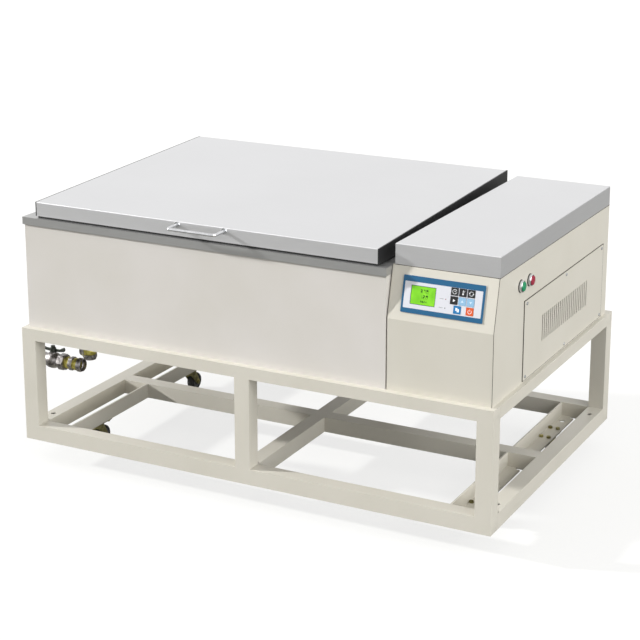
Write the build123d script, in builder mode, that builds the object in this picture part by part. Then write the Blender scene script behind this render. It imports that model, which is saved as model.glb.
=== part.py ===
"""A floor-standing reciprocating shaking water bath, built as separate pieces.

Units are millimetres. The origin is midway between the four levelling-foot holes, on the
underside of the bottom rails. +X runs to the right, +Y runs to the rear and +Z is up.
"""

import os
from math import atan2, cos, degrees, hypot, pi, sin, tan

from build123d import *

os.makedirs("parts", exist_ok=True)

# Stand
stand_width = 1280
stand_depth = 820
stand_height = 298
tube_size = 40
tube_wall = 2.5
top_rail_height = 30
weld_gap = 0.2
foot_hole_radius = 6.5
foot_hole_setback = 90

# Angle rails that carry the casters
angle_size = 40
angle_wall = 4
angle_inset = 116
cope = 12
spare_hole_radius = 8
spare_hole_setback = 82

# Casters
caster_height = 66
caster_setback = 178
caster_trail = 20
caster_plate_length = 88
caster_plate_width = 37
caster_plate_wall = 3
bolt_spacing_x = 20
bolt_spacing_y = 68
bolt_radius = 3
bolt_hole_clearance = 0.2
hex_across_flats = 10
hex_height = 5
wheel_radius = 25
wheel_width = 20
axle_radius = 3
kingpin_radius = 5
fork_head_radius = 17
fork_wall = 2.5
raceway_height = 3
running_clearance = 0.05
seat_gap = 0.3

# Cabinet on the stand
cabinet_inset_front = 17
cabinet_inset_side = 11
cabinet_inset_rear = 26
sheet = 1.5

# Water-bath tank
tank_length = 997
tank_height = 287
insulation_wall = 38
liner_corner = 25
rim_height = 19
rim_overhang = 4
rim_overhang_right = 2
seal_height = 4.7
seal_width = 14
seal_inset = 2

# Lid
lid_gap = 0.3
lid_setback_front = 7
lid_setback_left = 37
lid_setback_right = 22
lid_front_height = 35.5
lid_rear_height = 58
lid_trim_wall = 3
handle_offset = 6
handle_span = 129
handle_reach = 46
handle_rod_radius = 4
handle_bend = 9
handle_drop = 8.5
handle_rose_radius = 8
handle_rose_height = 2

# Hinges of the lid
hinge_length = 80
hinge_setback = 190
hinge_leaf_wall = 2
hinge_leaf_height = 28
knuckle_radius = 5.5
hinge_pin_radius = 2.5

# Drain line under the tank
drain_setback_left = 135
drain_setback_front = 68
drain_drop = 108
drain_tube_radius = 13
drain_tube_wall = 2
elbow_radius = 18
elbow_bend = 22
elbow_collar = 14
band_height = 16
nipple_length = 38
nipple_hex = 30
valve_length = 82
valve_radius = 20
valve_port_radius = 9
hose_tail_radius = 11
hose_tail_length = 40
lever_hub_radius = 8
lever_hub_height = 12
wing_length = 38
wing_height = 12
wing_wall = 3
stem_radius = 3.5

# Tray and what carries it
tray_length = 760
tray_width = 560
tray_sheet = 2
tray_upstand = 25
tray_slot_length = 62
tray_slot_width = 34
tray_slot_rows = 8
tray_slot_columns = 9
tray_right_gap = 43
rail_radius = 6
rail_height = 35
rail_spacing = 440
rail_foot_wall = 8
glide_length = 40
glide_width = 26
glide_height = 32
glide_spacing = 560

# Drive
drive_height = 236
stroke = 15
rod_radius = 7
bushing_wall = 5
bushing_flange = 4
arm_wall = 6
arm_width = 60
crank_offset = 108.5
crank_disc_radius = 26
crank_disc_height = 8
crank_pin_radius = 4
roller_radius = 6
yoke_height = 8
yoke_border = 9.5
shaft_radius = 6
bearing_radius = 22
bearing_height = 9.5
bracket_wall = 5
bracket_length = 160
pulley_radius = 45
pulley_ratio = 3
pulley_height = 12
belt_wall = 3
motor_offset = 150
motor_radius = 35
motor_height = 92
motor_shaft_radius = 5

# Heater and probe in the bath
heater_radius = 5
heater_height = 16
heater_loop_width = 60
heater_loop_length = 760
probe_radius = 4
probe_length = 90
probe_setback = 110
probe_height = 120

# Control housing
seam_gap = 3.5
slope_start = 170
slope_top = 290
slope_run = 29
cover_height = 49
cover_inset_left = 5
panel_length = 554
panel_height = 191
panel_front_setback = 181
panel_rise = 5
panel_wall = 2
panel_screw_inset_y = 13
panel_screw_inset_z = 7.5
panel_frame = 22
screw_radius = 2
screw_head_radius = 4
screw_head_height = 2
screw_length = 8
louvre_count = 24
louvre_pitch = 13.5
louvre_width = 6
louvre_height = 65
louvre_rise = 62
louvre_shift = 1.5

# Push buttons on the side of the housing
button_rise = 240
start_setback = 154
stop_setback = 210
button_hole_radius = 11.2
gasket_radius = 15
gasket_wall = 2
bezel_radius = 14
bezel_height = 6
bezel_bore_radius = 11.2
cap_radius = 11
cap_height = 7.5
button_stroke = 3.5
barrel_length = 26
contact_block = 28

# Membrane fascia on the slope
fascia_width = 197
fascia_height = 84
fascia_wall = 2
key_size = 17.6
key_pitch = 19.8
key_height = 2
key_lift = 0.6
key_clearance = 0.2
key_column = 47
key_pair_offset = 10
display_width = 60.6
display_height = 43
display_offset = 47.5
led_radius = 1.2
led_column = 7.6

# Power inlet at the rear of the housing
inlet_width = 50
inlet_height = 30
inlet_flange = 3
inlet_depth = 22
inlet_rise = 56
inlet_setback = 69

# Places worked out from the sizes
stand_z = 0
floor_z = stand_z - caster_height
wheel_z = floor_z + wheel_radius
stand_top = stand_z + stand_height
rail_x = stand_width / 2 - tube_size / 2
rail_y = stand_depth / 2 - tube_size / 2
floor_rail_z = stand_z + tube_size / 2
top_rail_z = stand_top - top_rail_height / 2
post_length = stand_height - tube_size - top_rail_height
inner_depth = stand_depth - 2 * tube_size

front_y = -stand_depth / 2 + cabinet_inset_front
rear_y = stand_depth / 2 - cabinet_inset_rear
cabinet_depth = rear_y - front_y
cabinet_mid_y = (front_y + rear_y) / 2
tank_left = -stand_width / 2 + cabinet_inset_side
tank_right = tank_left + tank_length
rim_top = stand_top + tank_height

liner_left = tank_left + sheet + insulation_wall
liner_right = tank_right - sheet - insulation_wall
liner_front = front_y + sheet + insulation_wall
liner_rear = rear_y - sheet - insulation_wall
liner_mid_x = (liner_left + liner_right) / 2
liner_mid_y = (liner_front + liner_rear) / 2
liner_length = liner_right - liner_left
liner_depth = liner_rear - liner_front
liner_base = stand_top + sheet + insulation_wall
bath_floor = liner_base + sheet
skirt_top = rim_top - sheet

housing_left = tank_right + seam_gap
housing_right = stand_width / 2 - cabinet_inset_side
housing_mid_x = (housing_left + housing_right) / 2
housing_top = stand_top + slope_top
bend_z = stand_top + slope_start
slope_top_y = front_y + slope_run
slope_rise = housing_top - bend_z
slope_tilt = atan2(slope_run, slope_rise)
slope_length = hypot(slope_run, slope_rise)

drive_z = stand_top + drive_height
drive_y = cabinet_mid_y
crank_x = housing_left + crank_offset
tray_rail_z = bath_floor + rail_height
tray_right = liner_right - sheet - tray_right_gap
tray_mid_x = tray_right - tray_length / 2
tray_z = tray_rail_z + glide_height / 2 + 2


def save(piece, name):
    """Labels a finished piece and writes it as its own file."""
    piece.part.label = name
    export_step(piece.part, f"parts/{name}.step")
    return piece.part


def square_tube(centre, direction, length, width, height):
    """Adds a hollow rectangular tube to the open part, centred on a point."""
    across = (0, 1, 0) if direction == (1, 0, 0) else (1, 0, 0)
    with BuildSketch(Plane(origin=centre, x_dir=across, z_dir=direction)) as section:
        Rectangle(width, height)
        Rectangle(width - 2 * tube_wall, height - 2 * tube_wall, mode=Mode.SUBTRACT)
    extrude(section.sketch, amount=length / 2, both=True)


def sheet_box(low, high):
    """Adds a flat panel, given its lowest and its highest corner."""
    size = [b - a for a, b in zip(low, high)]
    with Locations(tuple((a + b) / 2 for a, b in zip(low, high))):
        Box(*size)


def along_x(x, y, z):
    """A work plane at a point, facing +X, whose own x runs along Y."""
    return Plane(origin=(x, y, z), x_dir=(0, 1, 0), z_dir=(1, 0, 0))


def along_z(x, y, z):
    """A work plane at a point, facing up."""
    return Plane(origin=(x, y, z))


# The stand is a welded frame of square tube. Its end rails have holes for levelling feet.
with BuildPart() as floor_rails:
    for side in (-1, 1):
        square_tube((0, side * rail_y, floor_rail_z), (1, 0, 0), stand_width, tube_size, tube_size)
        square_tube(
            (side * rail_x, 0, floor_rail_z), (0, 1, 0), inner_depth - 2 * weld_gap, tube_size, tube_size
        )
    foot_hole_y = stand_depth / 2 - foot_hole_setback
    with Locations((0, 0, stand_z + tube_size)):
        with GridLocations(2 * rail_x, 2 * foot_hole_y, 2, 2):
            Hole(foot_hole_radius, depth=tube_size)
save(floor_rails, "stand_bottom_rails")

with BuildPart() as top_rails:
    for side in (-1, 1):
        square_tube((0, side * rail_y, top_rail_z), (1, 0, 0), stand_width, tube_size, top_rail_height)
        square_tube(
            (side * rail_x, 0, top_rail_z), (0, 1, 0), inner_depth - 2 * weld_gap, tube_size, top_rail_height
        )
save(top_rails, "stand_top_rails")

with BuildPart() as posts:
    for x in (-rail_x, 0, rail_x):
        for y in (-rail_y, rail_y):
            square_tube(
                (x, y, stand_z + tube_size + post_length / 2), (0, 0, 1), post_length, tube_size, tube_size
            )
save(posts, "stand_posts")

# A long brace runs from end rail to end rail, and two short ones join it to the front and rear rails.
cross_brace_length = (inner_depth - tube_size) / 2 - 2 * weld_gap
cross_brace_y = tube_size / 2 + weld_gap + cross_brace_length / 2
with BuildPart() as braces:
    square_tube(
        (0, 0, floor_rail_z), (1, 0, 0), stand_width - 2 * tube_size - 2 * weld_gap, tube_size, tube_size
    )
    for side in (-1, 1):
        square_tube((0, side * cross_brace_y, floor_rail_z), (0, 1, 0), cross_brace_length, tube_size, tube_size)
save(braces, "stand_floor_braces")

# Four lengths of steel angle. The upright leg is the inner one, and the flat leg carries the caster.
angle_leg_x = stand_width / 2 - angle_inset
caster_x = angle_leg_x + angle_size / 2
caster_y = stand_depth / 2 - caster_setback
with BuildPart() as caster_rails:
    for side in (-1, 1):
        for end in (-1, 1):
            section_plane = Plane(
                origin=(side * angle_leg_x, end * cross_brace_y, stand_z), x_dir=(side, 0, 0), z_dir=(0, -side, 0)
            )
            with BuildSketch(section_plane):
                with Locations((0, 0)):
                    Rectangle(angle_size, angle_wall, align=(Align.MIN, Align.MIN))
                    Rectangle(angle_wall, angle_size, align=(Align.MIN, Align.MIN))
            extrude(amount=cross_brace_length / 2, both=True)
            outer_x = side * (angle_leg_x + angle_size - cope / 2)
            for y in (tube_size / 2, stand_depth / 2 - tube_size):
                with Locations((outer_x, end * y, stand_z + angle_wall / 2)):
                    Box(cope, 2 * cope, angle_wall, mode=Mode.SUBTRACT)
            with Locations((side * caster_x, end * caster_y, stand_z + angle_wall)):
                with GridLocations(bolt_spacing_x, bolt_spacing_y, 2, 2):
                    Hole(bolt_radius + bolt_hole_clearance, depth=angle_wall)
            with Locations((side * caster_x, end * (stand_depth / 2 - spare_hole_setback), stand_z + angle_wall)):
                Hole(spare_hole_radius, depth=angle_wall)
save(caster_rails, "caster_rails")

# Top plate of each caster with its ball raceway, and the bolts that hold it to the angle.
plate_z = stand_z - caster_plate_wall
raceway_z = plate_z - raceway_height
with BuildPart() as caster_plates:
    for x in (-caster_x, caster_x):
        for y in (-caster_y, caster_y):
            with BuildSketch(along_z(x, y, plate_z)):
                RectangleRounded(caster_plate_width, caster_plate_length, 5)
            extrude(amount=caster_plate_wall)
            with BuildSketch(along_z(x, y, raceway_z)):
                Circle(fork_head_radius)
            extrude(amount=raceway_height)
            with Locations((x, y, stand_z)):
                Hole(kingpin_radius + running_clearance, depth=caster_plate_wall + raceway_height)
                with GridLocations(bolt_spacing_x, bolt_spacing_y, 2, 2):
                    Hole(bolt_radius + bolt_hole_clearance, depth=caster_plate_wall)
    for x in (-caster_x, caster_x):
        for y in (-caster_y, caster_y):
            with Locations((x, y)):
                with GridLocations(bolt_spacing_x, bolt_spacing_y, 2, 2) as bolt_places:
                    bolt_points = bolt_places.locations
            for point in bolt_points:
                bx, by, _ = point.position
                head_z = plate_z - hex_height
                with BuildSketch(along_z(bx, by, head_z)):
                    RegularPolygon(hex_across_flats / 2, 6, major_radius=False)
                extrude(amount=hex_height - weld_gap)
                with BuildSketch(along_z(bx, by, head_z)):
                    Circle(bolt_radius)
                extrude(amount=stand_z + angle_wall + hex_height + 1 - head_z)
                with BuildSketch(along_z(bx, by, stand_z + angle_wall + weld_gap)):
                    RegularPolygon(hex_across_flats / 2, 6, major_radius=False)
                extrude(amount=hex_height)
save(caster_plates, "caster_plates")

fork_top = raceway_z - seat_gap
fork_base = floor_z + 2 * wheel_radius + 1
leg_x = wheel_width / 2 + 1


def caster_fork(x, y):
    """A pressed fork with its kingpin and its axle, for a caster whose wheel trails to the rear."""
    with BuildPart() as fork:
        with BuildSketch(along_z(x, y, fork_base)):
            Circle(fork_head_radius)
        extrude(amount=fork_top - fork_base)
        with BuildSketch(along_z(x, y, fork_base)):
            Circle(kingpin_radius)
        extrude(amount=stand_z - seat_gap - fork_base)
        for side in (-1, 1):
            with BuildSketch(along_x(x + side * (leg_x + fork_wall / 2), y, 0)):
                with Locations((0, fork_base + fork_wall / 2)):
                    Rectangle(1.6 * fork_head_radius, fork_wall)
                with Locations((caster_trail, wheel_z)):
                    Circle(2.6 * axle_radius)
                make_hull()
            extrude(amount=fork_wall / 2, both=True)
        with Locations((x, y, fork_base + fork_wall / 2)):
            Box(2 * (leg_x + fork_wall), 1.6 * fork_head_radius, fork_wall)
        with BuildSketch(along_x(x, y + caster_trail, wheel_z)):
            Circle(axle_radius)
        extrude(amount=leg_x + fork_wall + 3, both=True)
        for side in (-1, 1):
            with BuildSketch(along_x(x + side * (leg_x + fork_wall + 1.5), y + caster_trail, wheel_z)):
                RegularPolygon(hex_across_flats / 2, 6, major_radius=False)
            extrude(amount=1.5, both=True)
    return fork


def caster_wheel(x, y):
    """A moulded wheel with a rounded tread, dished sides and a plain bore."""
    with BuildPart() as wheel:
        with BuildSketch(Plane(origin=(x, y + caster_trail, wheel_z), x_dir=(0, 1, 0), z_dir=(0, 0, 1))):
            with BuildLine():
                bore = axle_radius + running_clearance
                half = wheel_width / 2
                Line((bore, half), (bore, -half))
                Line((bore, -half), (8, -half))
                Line((8, -half), (9, 2 - half))
                Line((9, 2 - half), (17, 2 - half))
                Line((17, 2 - half), (18, -half))
                Line((18, -half), (wheel_radius - 3, -half))
                ThreePointArc((wheel_radius - 3, -half), (wheel_radius, 0), (wheel_radius - 3, half))
                Line((wheel_radius - 3, half), (18, half))
                Line((18, half), (17, half - 2))
                Line((17, half - 2), (9, half - 2))
                Line((9, half - 2), (8, half))
                Line((8, half), (bore, half))
            make_face()
        revolve(axis=Axis((x, y + caster_trail, wheel_z), (1, 0, 0)))
    return wheel


for corner, (side, end) in {"fl": (-1, -1), "fr": (1, -1), "rl": (-1, 1), "rr": (1, 1)}.items():
    save(caster_fork(side * caster_x, end * caster_y), f"caster_fork_{corner}")
    save(caster_wheel(side * caster_x, end * caster_y), f"caster_wheel_{corner}")

# The tank's painted casing: four walls and a base, folded from sheet and welded at the corners.
drain_x = tank_left + drain_setback_left
drain_y = front_y + drain_setback_front
bushing_radius = rod_radius + running_clearance + bushing_wall
with BuildPart() as tank_casing:
    sheet_box((tank_left, front_y, stand_top), (tank_right, front_y + sheet, skirt_top))
    sheet_box((tank_left, rear_y - sheet, stand_top), (tank_right, rear_y, skirt_top))
    wall_front = front_y + sheet + weld_gap
    wall_rear = rear_y - sheet - weld_gap
    sheet_box((tank_left, wall_front, stand_top), (tank_left + sheet, wall_rear, skirt_top))
    sheet_box((tank_right - sheet, wall_front, stand_top), (tank_right, wall_rear, skirt_top))
    base_left = tank_left + sheet + weld_gap
    base_right = tank_right - sheet - weld_gap
    sheet_box((base_left, wall_front, stand_top), (base_right, wall_rear, stand_top + sheet))
    with Locations((drain_x, drain_y, stand_top + sheet)):
        Hole(drain_tube_radius + seat_gap, depth=sheet)
    with Locations(along_x(tank_right, drive_y, drive_z)):
        Hole(bushing_radius + seat_gap, depth=2 * sheet)
save(tank_casing, "tank_casing")

# The stainless bath: a pan with rounded upright corners.
with BuildPart() as tank_liner:
    with BuildSketch(along_z(liner_mid_x, liner_mid_y, liner_base)):
        RectangleRounded(liner_length, liner_depth, liner_corner)
    extrude(amount=skirt_top - liner_base)
    offset(amount=-sheet, openings=tank_liner.faces().sort_by(Axis.Z)[-1])
    with Locations((drain_x, drain_y, bath_floor)):
        Hole(drain_tube_radius + seat_gap, depth=sheet)
    with Locations(along_x(liner_right, drive_y, drive_z)):
        Hole(bushing_radius + seat_gap, depth=2 * sheet)
save(tank_liner, "tank_liner")

# Foam between the casing and the bath.
with BuildPart() as tank_insulation:
    sheet_box((base_left, wall_front, stand_top + sheet), (base_right, wall_rear, skirt_top))
    with BuildSketch(along_z(liner_mid_x, liner_mid_y, liner_base)):
        RectangleRounded(liner_length, liner_depth, liner_corner)
    extrude(amount=skirt_top - liner_base, mode=Mode.SUBTRACT)
    with Locations((drain_x, drain_y, liner_base)):
        Hole(drain_tube_radius + seat_gap, depth=insulation_wall)
    with Locations(along_x(tank_right - sheet, drive_y, drive_z)):
        Hole(bushing_radius + seat_gap, depth=insulation_wall)
save(tank_insulation, "tank_insulation")

# The stainless rim: four angle strips whose skirts hang outside the casing.
rim_left = tank_left - rim_overhang
rim_right = tank_right + rim_overhang_right
rim_front = front_y - rim_overhang
rim_rear = rear_y + rim_overhang
rim_mouth_front = liner_front + sheet
rim_mouth_rear = liner_rear - sheet
with BuildPart() as tank_rim:
    for edge_y, mouth_y, out in ((rim_front, rim_mouth_front, -1), (rim_rear, rim_mouth_rear, 1)):
        with BuildSketch(along_x(rim_left, 0, 0)):
            with BuildLine():
                Polyline(
                    (edge_y, rim_top),
                    (mouth_y, rim_top),
                    (mouth_y, skirt_top),
                    (edge_y - out * sheet, skirt_top),
                    (edge_y - out * sheet, rim_top - rim_height),
                    (edge_y, rim_top - rim_height),
                    close=True,
                )
            make_face()
        extrude(amount=rim_right - rim_left)
    for edge_x, mouth_x, out in (
        (rim_left, liner_left + sheet, -1),
        (rim_right, liner_right - sheet, 1),
    ):
        with BuildSketch(Plane(origin=(0, rim_mouth_front + weld_gap, 0), x_dir=(1, 0, 0), z_dir=(0, -1, 0))):
            with BuildLine():
                Polyline((edge_x, rim_top), (mouth_x, rim_top), (mouth_x, skirt_top), (edge_x, skirt_top), close=True)
            make_face()
        extrude(amount=-(rim_mouth_rear - rim_mouth_front - 2 * weld_gap))
        with BuildSketch(
            Plane(origin=(0, rim_front + sheet + weld_gap, 0), x_dir=(1, 0, 0), z_dir=(0, -1, 0))
        ):
            with BuildLine():
                Polyline(
                    (edge_x, skirt_top - weld_gap),
                    (edge_x - out * sheet, skirt_top - weld_gap),
                    (edge_x - out * sheet, rim_top - rim_height),
                    (edge_x, rim_top - rim_height),
                    close=True,
                )
            make_face()
        extrude(amount=-(rim_rear - rim_front - 2 * sheet - 2 * weld_gap))
save(tank_rim, "tank_rim")

# The lid's outline, and the rubber seal that it closes on.
lid_left = rim_left + lid_setback_left
lid_right = rim_right - lid_setback_right
lid_front = rim_front + lid_setback_front
lid_rear = rim_rear
lid_base = rim_top + seal_height + lid_gap
lid_mid_x = (lid_left + lid_right) / 2
lid_mid_y = (lid_front + lid_rear) / 2
with BuildPart() as rim_seal:
    seal_length = lid_right - lid_left - 2 * seal_inset
    seal_depth = lid_rear - lid_front - 2 * seal_inset
    with BuildSketch(along_z(lid_mid_x, lid_mid_y, rim_top)):
        RectangleRounded(seal_length, seal_depth, 6)
        RectangleRounded(seal_length - 2 * seal_width, seal_depth - 2 * seal_width, 4, mode=Mode.SUBTRACT)
    extrude(amount=seal_height)
save(rim_seal, "rim_seal")


def lid_profile(inset):
    """The lid's side view: low at the front, higher at the rear, with its walls moved in by an inset."""
    return (
        (lid_front + inset, lid_base),
        (lid_front + inset, lid_base + lid_front_height - inset),
        (lid_rear - inset, lid_base + lid_rear_height - inset),
        (lid_rear - inset, lid_base),
    )


shell_left = lid_left + lid_trim_wall
shell_right = lid_right - lid_trim_wall
with BuildPart() as lid_shell:
    with BuildSketch(along_x(shell_left, 0, 0)):
        with BuildLine():
            Polyline(*lid_profile(0), close=True)
        make_face()
    extrude(amount=shell_right - shell_left)
    fillet(lid_shell.faces().sort_by(Axis.Z)[-1].edges().filter_by(Axis.X), 2)
    offset(amount=-sheet, openings=lid_shell.faces().sort_by(Axis.Z)[0])
save(lid_shell, "lid_shell")

# The lid's underside is a stainless pan that fits up into the shell.
with BuildPart() as lid_liner:
    with BuildSketch(along_x(shell_left + sheet + seat_gap, 0, 0)):
        with BuildLine():
            Polyline(*lid_profile(sheet + 2 * seat_gap), close=True)
        make_face()
    extrude(amount=shell_right - shell_left - 2 * sheet - 2 * seat_gap)
    offset(amount=-sheet, openings=lid_liner.faces().sort_by(Axis.Z)[-1])
save(lid_liner, "lid_liner")

with BuildPart() as lid_end_trims:
    for start in (lid_left, shell_right):
        with BuildSketch(along_x(start, 0, 0)):
            with BuildLine():
                Polyline(*lid_profile(0), close=True)
            make_face()
        extrude(amount=lid_trim_wall)
save(lid_end_trims, "lid_end_trims")

# A bent rod with a round rose at each end, fixed to the front of the lid.
handle_x = lid_mid_x + handle_offset
handle_z = lid_base + lid_front_height - handle_drop
with BuildPart() as lid_handle:
    left_end = handle_x - handle_span / 2
    right_end = handle_x + handle_span / 2
    bar_y = lid_front - handle_reach
    with BuildLine():
        FilletPolyline(
            (left_end, lid_front, handle_z),
            (left_end, bar_y, handle_z),
            (right_end, bar_y, handle_z),
            (right_end, lid_front, handle_z),
            radius=handle_bend,
        )
    with BuildSketch(Plane(origin=(left_end, lid_front, handle_z), x_dir=(1, 0, 0), z_dir=(0, -1, 0))):
        Circle(handle_rod_radius)
    sweep()
    for end_x in (left_end, right_end):
        with BuildSketch(Plane(origin=(end_x, lid_front, handle_z), x_dir=(1, 0, 0), z_dir=(0, -1, 0))):
            Circle(handle_rose_radius)
        extrude(amount=handle_rose_height)
save(lid_handle, "lid_handle")

# Two butt hinges behind the lid. The lid's knuckle turns on the pin between the rim's two knuckles.
hinge_y = rim_rear + hinge_leaf_wall + knuckle_radius - 0.5
hinge_z = lid_base
hinge_places = (lid_left + hinge_setback, lid_right - hinge_setback)
third = hinge_length / 3
with BuildPart() as lid_hinge_leaves:
    for x in hinge_places:
        sheet_box(
            (x - hinge_length / 2, rim_rear, hinge_z + knuckle_radius + 1),
            (x + hinge_length / 2, rim_rear + hinge_leaf_wall, hinge_z + knuckle_radius + 1 + hinge_leaf_height),
        )
        sheet_box(
            (x - third / 2 + seat_gap, rim_rear, hinge_z),
            (x + third / 2 - seat_gap, rim_rear + hinge_leaf_wall, hinge_z + knuckle_radius + 1),
        )
        with BuildSketch(along_x(x, hinge_y, hinge_z)):
            Circle(knuckle_radius)
        extrude(amount=third / 2 - seat_gap, both=True)
        with BuildSketch(along_x(x, hinge_y, hinge_z)):
            Circle(hinge_pin_radius + running_clearance)
        extrude(amount=third, both=True, mode=Mode.SUBTRACT)
save(lid_hinge_leaves, "lid_hinge_leaves")

with BuildPart() as rim_hinge_leaves:
    for x in hinge_places:
        sheet_box(
            (x - hinge_length / 2, rim_rear, rim_top - rim_height),
            (x + hinge_length / 2, rim_rear + hinge_leaf_wall, hinge_z - knuckle_radius - 1),
        )
        for side in (-1, 1):
            inner = x + side * (third / 2 + seat_gap)
            outer = x + side * hinge_length / 2
            sheet_box(
                (min(inner, outer), rim_rear, hinge_z - knuckle_radius - 1),
                (max(inner, outer), rim_rear + hinge_leaf_wall, hinge_z),
            )
            with BuildSketch(along_x(inner, hinge_y, hinge_z)):
                Circle(knuckle_radius)
            extrude(amount=outer - inner)
        with BuildSketch(along_x(x, hinge_y, hinge_z)):
            Circle(hinge_pin_radius)
        extrude(amount=hinge_length / 2, both=True)
save(rim_hinge_leaves, "rim_hinge_leaves")

# Drain line: a tube through the tank's floor, an elbow, a hexagon nipple and a ball valve with a hose tail.
drain_z = stand_top - drain_drop
elbow_top = drain_z + elbow_bend + elbow_collar
with BuildPart() as drain_elbow:
    with BuildLine():
        FilletPolyline(
            (drain_x, drain_y, elbow_top),
            (drain_x, drain_y, drain_z),
            (drain_x - elbow_bend - elbow_collar, drain_y, drain_z),
            radius=elbow_bend,
        )
    with BuildSketch(along_z(drain_x, drain_y, elbow_top)):
        Circle(elbow_radius - 2)
        Circle(drain_tube_radius + seat_gap, mode=Mode.SUBTRACT)
    sweep()
    with BuildSketch(along_z(drain_x, drain_y, drain_z + elbow_bend + 2)):
        Circle(elbow_radius)
        Circle(drain_tube_radius + seat_gap, mode=Mode.SUBTRACT)
    extrude(amount=elbow_collar - 2)
    with BuildSketch(along_x(drain_x - elbow_bend - elbow_collar, drain_y, drain_z)):
        Circle(elbow_radius)
        Circle(drain_tube_radius + seat_gap, mode=Mode.SUBTRACT)
    extrude(amount=elbow_collar - 2)
save(drain_elbow, "drain_elbow")

elbow_end = drain_x - elbow_bend - elbow_collar
valve_right = elbow_end - nipple_length
with BuildPart() as drain_nipples:
    with BuildSketch(along_z(drain_x, drain_y, drain_z + elbow_bend)):
        Circle(drain_tube_radius)
        Circle(drain_tube_radius - drain_tube_wall, mode=Mode.SUBTRACT)
    extrude(amount=bath_floor - drain_z - elbow_bend)
    with BuildSketch(along_z(drain_x, drain_y, elbow_top)):
        RegularPolygon(elbow_radius, 8, major_radius=False)
        Circle(drain_tube_radius, mode=Mode.SUBTRACT)
    extrude(amount=band_height)
    with BuildSketch(along_x(valve_right, drain_y, drain_z)):
        Circle(drain_tube_radius + 1.5)
        Circle(drain_tube_radius - drain_tube_wall, mode=Mode.SUBTRACT)
    extrude(amount=nipple_length)
    with BuildSketch(along_x(valve_right + nipple_length / 2 - 6, drain_y, drain_z)):
        RegularPolygon(nipple_hex / 2 + 1, 6, major_radius=False)
        Circle(drain_tube_radius, mode=Mode.SUBTRACT)
    extrude(amount=12)
save(drain_nipples, "drain_nipples")

valve_x = valve_right - valve_length / 2
valve_left = valve_right - valve_length
stem_top = drain_z + valve_radius + lever_hub_height + 8
with BuildPart() as valve_body:
    with BuildSketch(Plane(origin=(valve_x, drain_y, drain_z), x_dir=(1, 0, 0), z_dir=(0, -1, 0))):
        with BuildLine():
            half = valve_length / 2
            neck = valve_radius - 5
            Line((-half, valve_port_radius), (-half, neck + 2))
            Line((-half, neck + 2), (16 - half, neck + 2))
            Line((16 - half, neck + 2), (18 - half, neck))
            Line((18 - half, neck), (-valve_radius + 2, neck))
            ThreePointArc((-valve_radius + 2, neck), (0, valve_radius + 1), (valve_radius - 2, neck))
            Line((valve_radius - 2, neck), (half - 18, neck))
            Line((half - 18, neck), (half - 16, valve_radius))
            Line((half - 16, valve_radius), (half, valve_radius))
            Line((half, valve_radius), (half, valve_port_radius))
            Line((half, valve_port_radius), (-half, valve_port_radius))
        make_face()
    revolve(axis=Axis((valve_x, drain_y, drain_z), (1, 0, 0)))
    with BuildSketch(along_z(valve_x, drain_y, drain_z + valve_radius - 4)):
        Circle(lever_hub_radius + 1)
        Circle(stem_radius + running_clearance, mode=Mode.SUBTRACT)
    extrude(amount=6)
    with BuildSketch(along_z(valve_x, drain_y, drain_z + valve_radius - 4)):
        Circle(stem_radius + running_clearance)
    extrude(amount=6, mode=Mode.SUBTRACT)
    with BuildSketch(along_x(valve_left, drain_y, drain_z)):
        Circle(hose_tail_radius)
        Circle(hose_tail_radius - drain_tube_wall, mode=Mode.SUBTRACT)
    extrude(amount=-hose_tail_length)
save(valve_body, "valve_body")

# A butterfly lever turns the valve's stem through a quarter turn.
lever_z = drain_z + valve_radius + 2 + seat_gap
with BuildPart() as valve_lever:
    with BuildSketch(along_z(valve_x, drain_y, lever_z)):
        Circle(lever_hub_radius)
    extrude(amount=lever_hub_height)
    with BuildSketch(along_z(valve_x, drain_y, lever_z)):
        Circle(stem_radius)
    extrude(amount=-6)
    with BuildSketch(along_z(valve_x, drain_y, lever_z + lever_hub_height)):
        RegularPolygon(hex_across_flats / 2, 6, major_radius=False)
    extrude(amount=hex_height)
    with BuildSketch(Plane(origin=(valve_x, drain_y, lever_z + 1), x_dir=(1, 0, 0), z_dir=(0, -1, 0))):
        for side in (-1, 1):
            with BuildLine():
                Polyline(
                    (0, 0),
                    (side * wing_length, 3),
                    (side * wing_length, 3 + wing_height),
                    (side * lever_hub_radius, wing_height * 0.7),
                    (0, wing_height * 0.7),
                    close=True,
                )
            make_face()
    extrude(amount=wing_wall / 2, both=True)
save(valve_lever, "valve_lever")

# Two round rails in the bath carry the tray on four glides.
with BuildPart() as tray_rails:
    rail_left = liner_left + sheet + seat_gap
    rail_right = liner_right - sheet - seat_gap
    foot_left = tray_mid_x - tray_length / 2 - 60
    foot_right = rail_right - rail_foot_wall
    for side in (-1, 1):
        y = drive_y + side * rail_spacing / 2
        with BuildSketch(along_x(foot_left, y, tray_rail_z)):
            Circle(rail_radius)
        extrude(amount=rail_right - foot_left)
        for x in (foot_left, foot_right):
            sheet_box(
                (x, y - 2 * rail_radius, bath_floor),
                (x + rail_foot_wall, y + 2 * rail_radius, tray_rail_z + 1.6 * rail_radius),
            )
save(tray_rails, "tray_rails")

with BuildPart() as tray_glides:
    with Locations((tray_mid_x, drive_y, tray_z - glide_height / 2 - 1)):
        with GridLocations(glide_spacing, rail_spacing, 2, 2):
            Box(glide_length, glide_width, glide_height + 2)
    for side in (-1, 1):
        with BuildSketch(along_x(tray_mid_x, drive_y + side * rail_spacing / 2, tray_rail_z)):
            Circle(rail_radius + running_clearance)
        extrude(amount=tray_length / 2, both=True, mode=Mode.SUBTRACT)
save(tray_glides, "tray_glides")

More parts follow.
